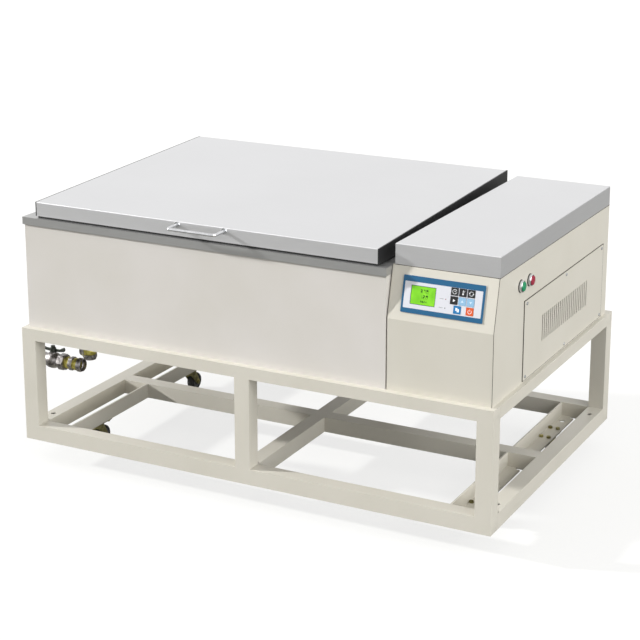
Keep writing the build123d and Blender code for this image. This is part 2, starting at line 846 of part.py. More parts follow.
# The tray is a slotted sheet with an upstand all round.
with BuildPart() as shaker_tray:
    with BuildSketch(along_z(tray_mid_x, drive_y, tray_z)):
        RectangleRounded(tray_length, tray_width, 12)
    extrude(amount=tray_sheet + tray_upstand)
    with BuildSketch(along_z(tray_mid_x, drive_y, tray_z + tray_sheet)):
        RectangleRounded(tray_length - 2 * tray_sheet, tray_width - 2 * tray_sheet, 10)
    extrude(amount=tray_upstand, mode=Mode.SUBTRACT)
    with BuildSketch(along_z(tray_mid_x, drive_y, tray_z)):
        pitch_x = (tray_length - 40) / tray_slot_columns
        pitch_y = (tray_width - 40) / tray_slot_rows
        with GridLocations(pitch_x, pitch_y, tray_slot_columns, tray_slot_rows):
            Rectangle(tray_slot_length, tray_slot_width)
    extrude(amount=tray_sheet, mode=Mode.SUBTRACT)
save(shaker_tray, "shaker_tray")

# The drive rod runs through a bushing in the walls, above the water, from an arm on the tray to a slotted yoke.
# The slot is wider than the roller by the most that a steady crank angle and a sine motion differ.
sine_slip = stroke * 0.2105
slot_half_x = roller_radius + sine_slip + seat_gap
slot_half_y = stroke + roller_radius + 2 * seat_gap
arm_x = tray_right + seat_gap
with BuildPart() as drive_yoke:
    sheet_box(
        (arm_x, drive_y - arm_width / 2, tray_z),
        (arm_x + arm_wall, drive_y + arm_width / 2, drive_z + 2 * rod_radius),
    )
    with BuildSketch(along_x(arm_x + arm_wall, drive_y, drive_z)):
        Circle(rod_radius)
    extrude(amount=crank_x - slot_half_x - yoke_border - arm_x - arm_wall)
    with BuildSketch(along_z(crank_x, drive_y, drive_z - yoke_height / 2)):
        RectangleRounded(2 * (slot_half_x + yoke_border), 2 * (slot_half_y + yoke_border), 4)
        RectangleRounded(2 * slot_half_x, 2 * slot_half_y, roller_radius, mode=Mode.SUBTRACT)
    extrude(amount=yoke_height)
save(drive_yoke, "drive_yoke")

crank_z = drive_z - yoke_height / 2 - 6 - crank_disc_height
bracket_top = crank_z - seat_gap - bearing_height
bracket_base = bracket_top - bracket_wall
pulley_z = bracket_base - 6 - pulley_height
with BuildPart() as drive_bearings:
    bushing_start = liner_right - sheet - bushing_flange
    bushing_end = housing_left + sheet + bushing_flange
    with BuildSketch(along_x(bushing_start, drive_y, drive_z)):
        Circle(bushing_radius)
        Circle(rod_radius + running_clearance, mode=Mode.SUBTRACT)
    extrude(amount=bushing_end - bushing_start)
    for flange_x in (bushing_start, housing_left + sheet):
        with BuildSketch(along_x(flange_x, drive_y, drive_z)):
            Circle(bushing_radius + 6)
            Circle(rod_radius + running_clearance, mode=Mode.SUBTRACT)
        extrude(amount=bushing_flange)
    with BuildSketch(along_z(crank_x, drive_y, bracket_top)):
        Circle(bearing_radius)
        Circle(shaft_radius + running_clearance, mode=Mode.SUBTRACT)
    extrude(amount=bearing_height)
save(drive_bearings, "drive_bearings")

with BuildPart() as crank:
    with BuildSketch(along_z(crank_x, drive_y, crank_z)):
        Circle(crank_disc_radius)
    extrude(amount=crank_disc_height)
    with BuildSketch(along_z(crank_x, drive_y, pulley_z)):
        Circle(shaft_radius)
    extrude(amount=crank_z - pulley_z)
    with BuildSketch(along_z(crank_x, drive_y, pulley_z)):
        Circle(pulley_radius)
    extrude(amount=pulley_height)
    pin_y = drive_y + stroke
    with BuildSketch(along_z(crank_x, pin_y, crank_z + crank_disc_height)):
        Circle(crank_pin_radius)
    extrude(amount=drive_z + yoke_height / 2 + 2 - crank_z - crank_disc_height)
    with BuildSketch(along_z(crank_x, pin_y, drive_z - yoke_height / 2 - 1)):
        Circle(roller_radius)
    extrude(amount=yoke_height + 2)
save(crank, "crank")

motor_y = drive_y - motor_offset
motor_pulley_radius = pulley_radius / pulley_ratio
with BuildPart() as motor_pulley:
    with BuildSketch(along_z(crank_x, motor_y, pulley_z)):
        Circle(motor_pulley_radius)
    extrude(amount=pulley_height)
    with BuildSketch(along_z(crank_x, motor_y, pulley_z)):
        Circle(motor_shaft_radius)
    extrude(amount=bracket_top - seat_gap - pulley_z)
save(motor_pulley, "motor_pulley")

with BuildPart() as drive_motor:
    with BuildSketch(along_z(crank_x, motor_y, bracket_top)):
        RectangleRounded(2 * motor_radius, 2 * motor_radius, 6)
    extrude(amount=motor_height * 0.4)
    with BuildSketch(along_z(crank_x, motor_y, bracket_top + motor_height * 0.4)):
        Circle(motor_radius)
    extrude(amount=motor_height * 0.6)
save(drive_motor, "drive_motor")

# The belt is a loop round both pulleys.
with BuildPart() as drive_belt:
    with BuildSketch(along_z(crank_x, 0, pulley_z + 1)) as loop:
        for grow, action in ((seat_gap + belt_wall, Mode.ADD), (seat_gap, Mode.SUBTRACT)):
            with BuildSketch(mode=Mode.PRIVATE) as outline:
                with Locations((0, drive_y)):
                    Circle(pulley_radius + grow)
                with Locations((0, motor_y)):
                    Circle(motor_pulley_radius + grow)
                make_hull()
            add(outline.sketch, mode=action)
    extrude(amount=pulley_height - 2)
save(drive_belt, "drive_belt")

# A folded bracket stands on the housing's base and carries the bearing and the motor.
bracket_front = motor_y - motor_radius - 15
bracket_rear = drive_y + pulley_radius + 20
with BuildPart() as drive_bracket:
    bracket_x = crank_x - bracket_length / 2
    foot_z = stand_top + sheet
    with BuildSketch(along_x(bracket_x, 0, 0)):
        with BuildLine():
            Polyline(
                (bracket_front - 20, foot_z),
                (bracket_front - 20, foot_z + bracket_wall),
                (bracket_front, foot_z + bracket_wall),
                (bracket_front, bracket_top),
                (bracket_rear, bracket_top),
                (bracket_rear, foot_z + bracket_wall),
                (bracket_rear + 20, foot_z + bracket_wall),
                (bracket_rear + 20, foot_z),
                (bracket_rear - bracket_wall, foot_z),
                (bracket_rear - bracket_wall, bracket_base),
                (bracket_front + bracket_wall, bracket_base),
                (bracket_front + bracket_wall, foot_z),
                close=True,
            )
        make_face()
    extrude(amount=bracket_length)
    with Locations((crank_x, drive_y, bracket_top)):
        Hole(shaft_radius + 1, depth=bracket_wall)
    with Locations((crank_x, motor_y, bracket_top)):
        Hole(motor_shaft_radius + 1, depth=bracket_wall)
save(drive_bracket, "drive_bracket")

# A bent tube heater lies along the rear of the bath floor, with its ends in a flange on the wall.
with BuildPart() as heater_element:
    heater_z = bath_floor + heater_height
    heater_rear = liner_rear - sheet - 40
    heater_front = heater_rear - heater_loop_width
    heater_right = liner_right - sheet - 6
    heater_left = heater_right - heater_loop_length
    with BuildLine():
        FilletPolyline(
            (heater_right, heater_front, heater_z),
            (heater_left, heater_front, heater_z),
            (heater_left, heater_rear, heater_z),
            (heater_right, heater_rear, heater_z),
            radius=heater_loop_width / 2.2,
        )
    with BuildSketch(Plane(origin=(heater_right, heater_front, heater_z), x_dir=(0, 1, 0), z_dir=(-1, 0, 0))):
        Circle(heater_radius)
    sweep()
    sheet_box(
        (heater_right, heater_front - 12, heater_z - 12), (liner_right - sheet, heater_rear + 12, heater_z + 12)
    )
    for x in (heater_left + 60, heater_right - 80):
        for y in (heater_front, heater_rear):
            sheet_box((x, y - 3, bath_floor), (x + 6, y + 3, heater_z))
save(heater_element, "heater_element")

with BuildPart() as temperature_probe:
    probe_z = bath_floor + probe_height
    probe_y = liner_front + probe_setback
    with BuildSketch(along_x(liner_right - sheet, probe_y, probe_z)):
        Circle(probe_radius)
    extrude(amount=-probe_length)
    with BuildSketch(along_x(liner_right - sheet, probe_y, probe_z)):
        RegularPolygon(9, 6, major_radius=False)
    extrude(amount=-8)
save(temperature_probe, "temperature_probe")

# The control housing: two side panels, a front panel with one bend, a rear panel and a base.
side_profile = (
    (front_y, stand_top),
    (front_y, bend_z),
    (slope_top_y, housing_top),
    (rear_y, housing_top),
    (rear_y, stand_top),
)
bend_inner_z = bend_z - sheet * tan(slope_tilt / 2)
slope_inner_top_y = slope_top_y + sheet / cos(slope_tilt)
panel_front_y = front_y + panel_front_setback
panel_mid_y = panel_front_y + panel_length / 2
panel_mid_z = stand_top + panel_rise + panel_height / 2
screw_spacing_y = panel_length / 2 - panel_screw_inset_y
screw_spacing_z = panel_height - 2 * panel_screw_inset_z
button_z = stand_top + button_rise
button_places = {"start": front_y + start_setback, "stop": front_y + stop_setback}
inlet_x = housing_right - inlet_setback
inlet_z = stand_top + inlet_rise
with BuildPart() as housing_panels:
    for start in (housing_left, housing_right - sheet):
        with BuildSketch(along_x(start, 0, 0)):
            with BuildLine():
                Polyline(*side_profile, close=True)
            make_face()
        extrude(amount=sheet)
    with Locations(along_x(housing_left + sheet, drive_y, drive_z)):
        Hole(bushing_radius + seat_gap, depth=sheet)
    with Locations((housing_right - sheet / 2, panel_mid_y, panel_mid_z)):
        Box(2 * sheet, panel_length - 2 * panel_frame, panel_height - 2 * panel_frame, mode=Mode.SUBTRACT)
    with Locations(along_x(housing_right, panel_mid_y, panel_mid_z)):
        with GridLocations(screw_spacing_y, screw_spacing_z, 3, 2):
            Hole(screw_radius + 0.2, depth=sheet)
    for y in button_places.values():
        with Locations(along_x(housing_right, y, button_z)):
            Hole(button_hole_radius, depth=sheet)
    inner_left = housing_left + sheet + weld_gap
    inner_right = housing_right - sheet - weld_gap
    with BuildSketch(along_x(inner_left, 0, 0)):
        with BuildLine():
            Polyline(
                (front_y, stand_top),
                (front_y, bend_z),
                (slope_top_y, housing_top),
                (slope_inner_top_y, housing_top),
                (front_y + sheet, bend_inner_z),
                (front_y + sheet, stand_top),
                close=True,
            )
        make_face()
    extrude(amount=inner_right - inner_left)
    sheet_box((inner_left, rear_y - sheet, stand_top), (inner_right, rear_y, housing_top))
    with Locations((inlet_x, rear_y, inlet_z)):
        Box(inlet_width - 16, 4 * sheet, inlet_height - 8, mode=Mode.SUBTRACT)
    sheet_box(
        (inner_left, front_y + sheet + weld_gap, stand_top),
        (inner_right, rear_y - sheet - weld_gap, stand_top + sheet),
    )
save(housing_panels, "housing_panels")

with BuildPart() as housing_cover:
    cover_left = housing_left + cover_inset_left
    sheet_box((cover_left, slope_top_y, housing_top), (housing_right, rear_y, housing_top + cover_height))
    fillet(housing_cover.faces().sort_by(Axis.Z)[-1].edges(), 2)
    offset(amount=-sheet, openings=housing_cover.faces().sort_by(Axis.Z)[0])
save(housing_cover, "housing_cover")

# The screwed access panel with its row of upright louvre slots.
with BuildPart() as access_panel:
    with BuildSketch(along_x(housing_right, panel_mid_y, panel_mid_z)):
        RectangleRounded(panel_length, panel_height, 4)
        with GridLocations(screw_spacing_y, screw_spacing_z, 3, 2):
            Circle(screw_radius + 0.2, mode=Mode.SUBTRACT)
        louvre_y = -louvre_shift
        louvre_z = louvre_rise + louvre_height / 2 - panel_height / 2
        with Locations((louvre_y, louvre_z)):
            with GridLocations(louvre_pitch, 1, louvre_count, 1):
                Rectangle(louvre_width, louvre_height, mode=Mode.SUBTRACT)
    extrude(amount=panel_wall)
save(access_panel, "access_panel")

with BuildPart() as access_screws:
    with Locations(along_x(housing_right + panel_wall, panel_mid_y, panel_mid_z)):
        with GridLocations(screw_spacing_y, screw_spacing_z, 3, 2) as grid:
            screw_points = grid.locations
    for place in screw_points:
        sx, sy, sz = place.position
        with BuildSketch(along_x(sx, sy, sz)):
            Circle(screw_head_radius)
        extrude(amount=screw_head_height)
        with BuildSketch(along_x(sx, sy, sz)):
            Circle(screw_radius)
        extrude(amount=-screw_length)
save(access_screws, "access_screws")

# The fascia lies on the slope. Its own plane has x to the right and y up the slope.
fascia_plane = Plane(
    origin=(housing_mid_x, (front_y + slope_top_y) / 2, (bend_z + housing_top) / 2),
    x_dir=(1, 0, 0),
    z_dir=(0, -cos(slope_tilt), sin(slope_tilt)),
)
key_places = {
    "key_timer": (key_column - key_pitch, key_pitch),
    "key_temperature": (key_column, key_pitch),
    "key_speed": (key_column + key_pitch, key_pitch),
    "key_run": (key_column - key_pitch, 0),
    "key_up": (key_column, 0),
    "key_down": (key_column + key_pitch, 0),
    "key_copy": (key_column - key_pair_offset, -key_pitch),
    "key_power": (key_column + key_pitch, -key_pitch),
}
with BuildPart() as control_fascia:
    with BuildSketch(fascia_plane):
        RectangleRounded(fascia_width, fascia_height, 2)
        with Locations((-display_offset, 0)):
            Rectangle(display_width + 0.4, display_height + 0.4, mode=Mode.SUBTRACT)
        with Locations(*key_places.values()):
            Rectangle(key_size + 2 * key_clearance, key_size + 2 * key_clearance, mode=Mode.SUBTRACT)
        with Locations((led_column, 0), (led_column, -key_pitch)):
            Circle(led_radius, mode=Mode.SUBTRACT)
    extrude(amount=fascia_wall)
save(control_fascia, "control_fascia")

with BuildPart() as lcd_window:
    with BuildSketch(fascia_plane):
        with Locations((-display_offset, 0)):
            Rectangle(display_width, display_height)
    extrude(amount=fascia_wall - 0.4)
save(lcd_window, "lcd_window")

for key_name, (kx, ky) in key_places.items():
    with BuildPart() as key:
        with BuildSketch(fascia_plane.offset(key_lift)):
            with Locations((kx, ky)):
                RectangleRounded(key_size, key_size, 1)
        extrude(amount=key_height)
    save(key, key_name)

with BuildPart() as control_board:
    board_depth = 14
    with BuildSketch(fascia_plane.offset(-sheet - board_depth)):
        Rectangle(fascia_width - 40, fascia_height - 8)
    extrude(amount=1.6)
    with BuildSketch(fascia_plane.offset(-sheet - board_depth)):
        with GridLocations(fascia_width - 50, fascia_height - 18, 2, 2):
            Circle(3)
    extrude(amount=board_depth)
    with BuildSketch(fascia_plane.offset(-sheet - board_depth)):
        with Locations((-40, -20), (20, 12)):
            Rectangle(40, 14)
    extrude(amount=-9)
save(control_board, "control_board")

# Two panel push buttons. Each has a gasket, a bezel, a barrel through the wall, a nut and a contact block.
with BuildPart() as button_housings:
    for y in button_places.values():
        with BuildSketch(along_x(housing_right, y, button_z)):
            Circle(gasket_radius)
            Circle(bezel_bore_radius, mode=Mode.SUBTRACT)
        extrude(amount=gasket_wall)
        with BuildSketch(along_x(housing_right + gasket_wall, y, button_z)):
            Circle(bezel_radius)
            Circle(bezel_bore_radius, mode=Mode.SUBTRACT)
        extrude(amount=bezel_height)
        with BuildSketch(along_x(housing_right - barrel_length, y, button_z)):
            Circle(button_hole_radius - 0.1)
        extrude(amount=barrel_length - 0.5)
        with BuildSketch(along_x(housing_right - 0.5, y, button_z)):
            Circle(button_hole_radius - 0.1)
            Circle(button_hole_radius - 0.6, mode=Mode.SUBTRACT)
        extrude(amount=0.5)
        with BuildSketch(along_x(housing_right - sheet - 6, y, button_z)):
            RegularPolygon(gasket_radius - 1, 6, major_radius=False)
        extrude(amount=6 - weld_gap)
        sheet_box(
            (housing_right - barrel_length - 30, y - contact_block / 2, button_z - contact_block / 2),
            (housing_right - barrel_length, y + contact_block / 2, button_z + contact_block / 2),
        )
save(button_housings, "button_housings")

cap_base = housing_right + button_stroke + seat_gap
for button_name, y in button_places.items():
    with BuildPart() as cap:
        with BuildSketch(along_x(cap_base, y, button_z)):
            Circle(cap_radius)
        extrude(amount=cap_height)
        fillet(cap.faces().sort_by(Axis.X)[-1].edges(), 1)
    save(cap, f"{button_name}_button")

# A recessed three-pin appliance inlet. No cord is fitted.
with BuildPart() as power_inlet:
    sheet_box(
        (inlet_x - inlet_width / 2, rear_y, inlet_z - inlet_height / 2),
        (inlet_x + inlet_width / 2, rear_y + inlet_flange, inlet_z + inlet_height / 2),
    )
    half_width = inlet_width / 2 - 9
    half_height = inlet_height / 2 - 5
    sheet_box(
        (inlet_x - half_width, rear_y - inlet_depth, inlet_z - half_height),
        (inlet_x + half_width, rear_y, inlet_z + half_height),
    )
    sheet_box_depth = 15
    with Locations((inlet_x, rear_y + inlet_flange - sheet_box_depth / 2, inlet_z)):
        Box(2 * half_width - 5, sheet_box_depth, 2 * half_height - 4, mode=Mode.SUBTRACT)
    for offset_x, offset_z in ((-7, -2), (0, 3), (7, -2)):
        sheet_box(
            (inlet_x + offset_x - 1, rear_y + inlet_flange - sheet_box_depth, inlet_z + offset_z - 2),
            (inlet_x + offset_x + 1, rear_y, inlet_z + offset_z + 2),
        )
save(power_inlet, "power_inlet")
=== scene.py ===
# %% [markdown]
# # A shaking water bath on a tube stand
# The object is a heated tank with a sloping lid, a control housing at its right end and a welded
# stand on casters. The solids come from the CAD frame and stay as they are. This lesson gives each
# of them a finish and adds the smooth and printed pieces that solids alone don't show well.

import math

import bpy
from mathutils import Matrix, Vector


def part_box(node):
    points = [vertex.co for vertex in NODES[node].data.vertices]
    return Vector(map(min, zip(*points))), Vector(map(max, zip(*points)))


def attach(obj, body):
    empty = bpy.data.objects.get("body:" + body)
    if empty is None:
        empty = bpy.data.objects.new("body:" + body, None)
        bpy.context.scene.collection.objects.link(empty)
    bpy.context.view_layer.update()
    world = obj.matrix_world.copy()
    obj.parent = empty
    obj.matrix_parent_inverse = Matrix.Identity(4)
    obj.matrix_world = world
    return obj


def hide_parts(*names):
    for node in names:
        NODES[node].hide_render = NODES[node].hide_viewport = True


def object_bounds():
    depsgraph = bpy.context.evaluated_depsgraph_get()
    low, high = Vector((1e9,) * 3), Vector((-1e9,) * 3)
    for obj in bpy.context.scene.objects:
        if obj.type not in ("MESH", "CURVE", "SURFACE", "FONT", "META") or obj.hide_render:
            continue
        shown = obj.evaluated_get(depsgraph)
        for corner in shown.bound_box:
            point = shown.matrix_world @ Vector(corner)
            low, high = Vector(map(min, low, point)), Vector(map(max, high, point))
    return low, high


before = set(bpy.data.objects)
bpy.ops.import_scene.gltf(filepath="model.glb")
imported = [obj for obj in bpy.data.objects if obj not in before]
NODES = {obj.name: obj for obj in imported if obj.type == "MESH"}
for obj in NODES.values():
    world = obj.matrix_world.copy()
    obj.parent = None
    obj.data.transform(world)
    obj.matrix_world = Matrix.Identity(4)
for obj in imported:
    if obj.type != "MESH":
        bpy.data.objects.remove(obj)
CAD_BOX = [list(corner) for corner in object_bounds()]
print("CAD nodes:", len(NODES), "box:", CAD_BOX)

# %% [markdown]
# ## Small helpers
# The CAD nodes stay selected after loading, and an operator acts on all that is selected. So every
# helper deselects first. A finished piece has its place in its mesh and its object at the origin,
# which is what the export expects.

# %% Helpers for selecting and placing
MM = 0.001
MERGE_DISTANCE = 0.002 * MM
SMOOTH_ANGLE = math.radians(35)
QUARTER = math.pi / 2
X_AXIS = Vector((1, 0, 0))
Y_AXIS = Vector((0, 1, 0))
Z_AXIS = Vector((0, 0, 1))


def only(*objects):
    """Selects just these objects and makes the first one active."""
    bpy.ops.object.select_all(action="DESELECT")
    for obj in objects:
        obj.select_set(True)
    bpy.context.view_layer.objects.active = objects[0]


def facing(direction, at=(0, 0, 0)):
    """A matrix that turns +Z to a direction and moves the origin to a point."""
    turn = Z_AXIS.rotation_difference(Vector(direction)).to_matrix().to_4x4()
    return Matrix.Translation(Vector(at)) @ turn


def settle(obj):
    """Moves a piece's place, turn and scale into its mesh."""
    only(obj)
    bpy.ops.object.transform_apply(location=True, rotation=True, scale=True)
    obj.data.update()
    return obj


def clean_up(obj):
    """Merges doubles, turns all faces outwards and smooths the shallow edges."""
    only(obj)
    bpy.ops.object.mode_set(mode="EDIT")
    bpy.ops.mesh.select_all(action="SELECT")
    bpy.ops.mesh.remove_doubles(threshold=MERGE_DISTANCE)
    bpy.ops.mesh.normals_make_consistent(inside=False)
    bpy.ops.object.mode_set(mode="OBJECT")
    bpy.ops.object.shade_smooth_by_angle(angle=SMOOTH_ANGLE)
    return obj


def apply_modifier(obj, kind, **settings):
    """Adds a modifier with its settings and applies it."""
    only(obj)
    modifier = obj.modifiers.new(kind.title(), kind)
    for key, value in settings.items():
        setattr(modifier, key, value)
    bpy.ops.object.modifier_apply(modifier=modifier.name)


def join(name, *objects):
    """Makes one piece of several."""
    only(*objects)
    bpy.ops.object.join()
    piece = bpy.context.view_layer.objects.active
    piece.name = name
    return piece


def dress(piece, material, body, replaces=None):
    """Gives a piece its material and the body it rides on, and hides the CAD node that it replaces."""
    piece.data.materials.clear()
    piece.data.materials.append(material)
    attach(piece, body)
    if replaces:
        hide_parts(replaces)
    print("made", piece.name, "on", body, "with", len(piece.data.polygons), "faces")


# %% [markdown]
# ## Three ways to start a piece
# Round pieces are a profile that is spun about an axis, as on a lathe. Bent rods are a path with a
# round section. Printed marks and thin plates are flat outlines, filled and given a thickness.

# %% Helpers for making shapes
def in_mm(*points):
    """Points given in millimetres, turned into metres."""
    return [(a * MM, b * MM) for a, b in points]


def lathe(name, profile, place, steps=48):
    """Spins a profile of (radius, height) points about Z, then puts it in place."""
    mesh = bpy.data.meshes.new(name)
    points = [(radius, 0, height) for radius, height in profile]
    mesh.from_pydata(points, [(i, i + 1) for i in range(len(points) - 1)], [])
    obj = bpy.data.objects.new(name, mesh)
    bpy.context.collection.objects.link(obj)
    only(obj)
    bpy.ops.object.mode_set(mode="EDIT")
    bpy.ops.mesh.select_all(action="SELECT")
    bpy.ops.mesh.spin(steps=steps, angle=2 * math.pi, center=(0, 0, 0), axis=Z_AXIS)
    bpy.ops.object.mode_set(mode="OBJECT")
    clean_up(obj)
    obj.data.transform(place)
    return obj


def rounded_path(points, radius, steps=8):
    """Rounds the inner corners of a path with arcs of one radius."""
    corners = [Vector(p) for p in points]
    path = [corners[0]]
    for before, corner, after in zip(corners, corners[1:], corners[2:]):
        back = (before - corner).normalized()
        ahead = (after - corner).normalized()
        half = back.angle(ahead) / 2
        centre = corner + (back + ahead).normalized() * radius / math.sin(half)
        start = corner + back * radius / math.tan(half)
        end = corner + ahead * radius / math.tan(half)
        axis = (start - centre).cross(end - centre)
        sweep = (start - centre).angle(end - centre)
        for step in range(steps + 1):
            turn = Matrix.Rotation(sweep * step / steps, 3, axis)
            path.append(centre + turn @ (start - centre))
    path.append(corners[-1])
    return path


def rod(name, path, radius):
    """A round rod along a path."""
    curve = bpy.data.curves.new(name, "CURVE")
    curve.dimensions = "3D"
    curve.bevel_depth = radius
    curve.bevel_resolution = 6
    curve.use_fill_caps = True
    spline = curve.splines.new("POLY")
    spline.points.add(len(path) - 1)
    for point, place in zip(spline.points, path):
        point.co = (*place, 1)
    obj = bpy.data.objects.new(name, curve)
    bpy.context.collection.objects.link(obj)
    only(obj)
    bpy.ops.object.convert(target="MESH")
    return clean_up(bpy.context.view_layer.objects.active)


def flat(name, outlines, thick, place, bevel=0):
    """Fills closed outlines, with holes where they nest, and makes them thick above the plane."""
    curve = bpy.data.curves.new(name, "CURVE")
    curve.dimensions = "2D"
    curve.fill_mode = "BOTH"
    curve.extrude = thick / 2
    for outline in outlines:
        spline = curve.splines.new("POLY")
        spline.points.add(len(outline) - 1)
        for point, (x, y) in zip(spline.points, outline):
            point.co = (x, y, 0, 1)
        spline.use_cyclic_u = True
    obj = bpy.data.objects.new(name, curve)
    bpy.context.collection.objects.link(obj)
    only(obj)
    bpy.ops.object.convert(target="MESH")
    piece = clean_up(bpy.context.view_layer.objects.active)
    if bevel:
        apply_modifier(piece, "BEVEL", width=bevel, segments=2, limit_method="ANGLE")
    piece.data.transform(place @ Matrix.Translation((0, 0, thick / 2)))
    return piece


def rectangle(x, y, width, height, corner=0, steps=4):
    """A rectangle's outline about a centre, with rounded corners if asked."""
    if not corner:
        return [(x + a * width / 2, y + b * height / 2) for a, b in ((-1, -1), (1, -1), (1, 1), (-1, 1))]
    outline = []
    for turn, (a, b) in enumerate(((1, 1), (-1, 1), (-1, -1), (1, -1))):
        for step in range(steps + 1):
            angle = QUARTER * (turn + step / steps)
            outline.append((x + a * (width / 2 - corner) + corner * math.cos(angle),
                            y + b * (height / 2 - corner) + corner * math.sin(angle)))
    return outline


def arc(x, y, radius, start=0, end=360, steps=24):
    """Points on a circle, or on a part of one, with angles in degrees."""
    full = end - start == 360
    count = steps if full else steps + 1
    angles = [math.radians(start + (end - start) * i / steps) for i in range(count)]
    return [(x + radius * math.cos(a), y + radius * math.sin(a)) for a in angles]


def band(x, y, radius, width, start, end):
    """The outline of a curved stroke."""
    outer = arc(x, y, radius + width / 2, start, end)
    inner = arc(x, y, radius - width / 2, start, end)
    return outer + inner[::-1]


def prism(name, sides, across, length, place, bevel=0.4 * MM):
    """A bar with flat sides, such as a hexagon, with its edges broken. It stands on its plane."""
    bpy.ops.object.select_all(action="DESELECT")
    radius = across / 2 / math.cos(math.pi / sides)
    bpy.ops.mesh.primitive_cylinder_add(vertices=sides, radius=radius, depth=length,
                                        location=(0, 0, length / 2))
    obj = bpy.context.view_layer.objects.active
    obj.name = name
    settle(obj)
    apply_modifier(obj, "BEVEL", width=bevel, segments=2, limit_method="ANGLE")
    obj.data.transform(place)
    return obj


def block(name, low, high, bevel=0.5 * MM):
    """A rectangular block between two corners with its edges rounded."""
    bpy.ops.object.select_all(action="DESELECT")
    centre = [(a + b) / 2 for a, b in zip(low, high)]
    bpy.ops.mesh.primitive_cube_add(size=1, location=centre)
    obj = bpy.context.view_layer.objects.active
    obj.name = name
    obj.scale = [b - a for a, b in zip(low, high)]
    settle(obj)
    apply_modifier(obj, "BEVEL", width=bevel, segments=3, limit_method="ANGLE")
    only(obj)
    bpy.ops.object.shade_smooth_by_angle(angle=SMOOTH_ANGLE)
    return obj


# %% [markdown]
# ## Shader maths as Python
# A small class wraps a node socket, so a mask reads as arithmetic. One method adds any other node.
# Patterns read Object coordinates, which are metres in the frame, so grain has its real scale.

# %% Wrapper for sockets and materials
class Value:
    """A socket that carries a number, and that Python's operators work on."""

    def __init__(self, finish, socket):
        self.finish = finish
        self.socket = socket

    def maths(self, operation, other):
        """Adds a Math node that works on this value and another one."""
        return self.finish.node("ShaderNodeMath", {"operation": operation}, {0: self, 1: other})

    def __add__(self, other):
        return self.maths("ADD", other)

    def __mul__(self, other):
        return self.maths("MULTIPLY", other)

    def __radd__(self, other):
        return self + other

    def __rmul__(self, other):
        return self * other


class Finish:
    """One material: its nodes, its shader and the patterns that it uses."""

    def __init__(self, name):
        self.material = bpy.data.materials.new(name)
        self.material.use_nodes = True
        self.tree = self.material.node_tree
        self.shader = self.tree.nodes["Principled BSDF"]
        self.place = self.node("ShaderNodeTexCoord", {}, {}, "Object")

    def node(self, kind, settings, inputs, output=0):
        """Adds a node, makes its settings, fills or links its inputs and wraps one output."""
        made = self.tree.nodes.new(kind)
        for key, value in settings.items():
            if key == "stops":
                self.set_stops(made.color_ramp, value)
            else:
                setattr(made, key, value)
        for key, value in inputs.items():
            if isinstance(value, Value):
                self.tree.links.new(value.socket, made.inputs[key])
            else:
                made.inputs[key].default_value = value
        return Value(self, made.outputs[output])

    def set_stops(self, ramp, stops):
        """Sets a ramp's positions and colours."""
        while len(ramp.elements) < len(stops):
            ramp.elements.new(1)
        for element, (position, colour) in zip(ramp.elements, stops):
            element.position = position
            element.color = (*colour, 1)

    def noise(self, scale, detail=2, roughness=0.5, stretch=(1, 1, 1)):
        """Noise with features of 1 / scale metres, drawn out along an axis by a small stretch."""
        vector = self.node("ShaderNodeMapping", {}, {"Vector": self.place, "Scale": stretch})
        return self.node("ShaderNodeTexNoise", {}, {"Vector": vector, "Scale": scale, "Detail": detail,
                                                    "Roughness": roughness})

    def ramp(self, value, *stops):
        """A colour ramp."""
        return self.node("ShaderNodeValToRGB", {"stops": stops}, {"Fac": value})

    def bump(self, height, distance, strength):
        """A bump of a real height."""
        inputs = {"Height": height, "Distance": distance, "Strength": strength}
        return self.node("ShaderNodeBump", {}, inputs)

    def set(self, **inputs):
        """Fills or links the shader's sockets, named with underscores for spaces."""
        for key, value in inputs.items():
            socket = self.shader.inputs[key.replace("_", " ")]
            if isinstance(value, Value):
                self.tree.links.new(value.socket, socket)
            else:
                socket.default_value = value
        return self.material


def srgb(red, green, blue):
    """A colour given as eight-bit values, turned into linear light."""
    return tuple(((c / 255 + 0.055) / 1.055) ** 2.4 for c in (red, green, blue))


# %% [markdown]
# ## Powder coat
# The stand and the housing have a semi-gloss ivory coat. It is never quite even: it has a fine
# orange peel, a slight drift in tone over a hand's breadth, and its gloss varies a little.

# %% Paints and plastics
def powder_coat(name, colour, shade, rough=0.42):
    """Sprayed and baked paint: two close tones that drift, with a fine orange peel."""
    finish = Finish(name)
    drift = finish.noise(5, detail=3)
    peel = finish.noise(420, detail=1)
    tone = finish.ramp(drift, (0.3, shade), (0.7, colour))
    return finish.set(Base_Color=tone, Roughness=rough - 0.05 + peel * 0.1,
                      Normal=finish.bump(peel, 0.06 * MM, 0.35))


def moulded(name, colour, rough=0.35, grain=900, depth=0.03, shade=0.85):
    """Moulded plastic or rubber: one colour with a faint mottling and a fine grain."""
    finish = Finish(name)
    mottle = finish.noise(40, detail=3)
    grains = finish.noise(grain, detail=2)
    dark = tuple(c * shade for c in colour)
    return finish.set(Base_Color=finish.ramp(mottle, (0.3, dark), (0.7, colour)),
                      Roughness=rough - 0.05 + grains * 0.1,
                      Normal=finish.bump(grains, depth * MM, 0.4))


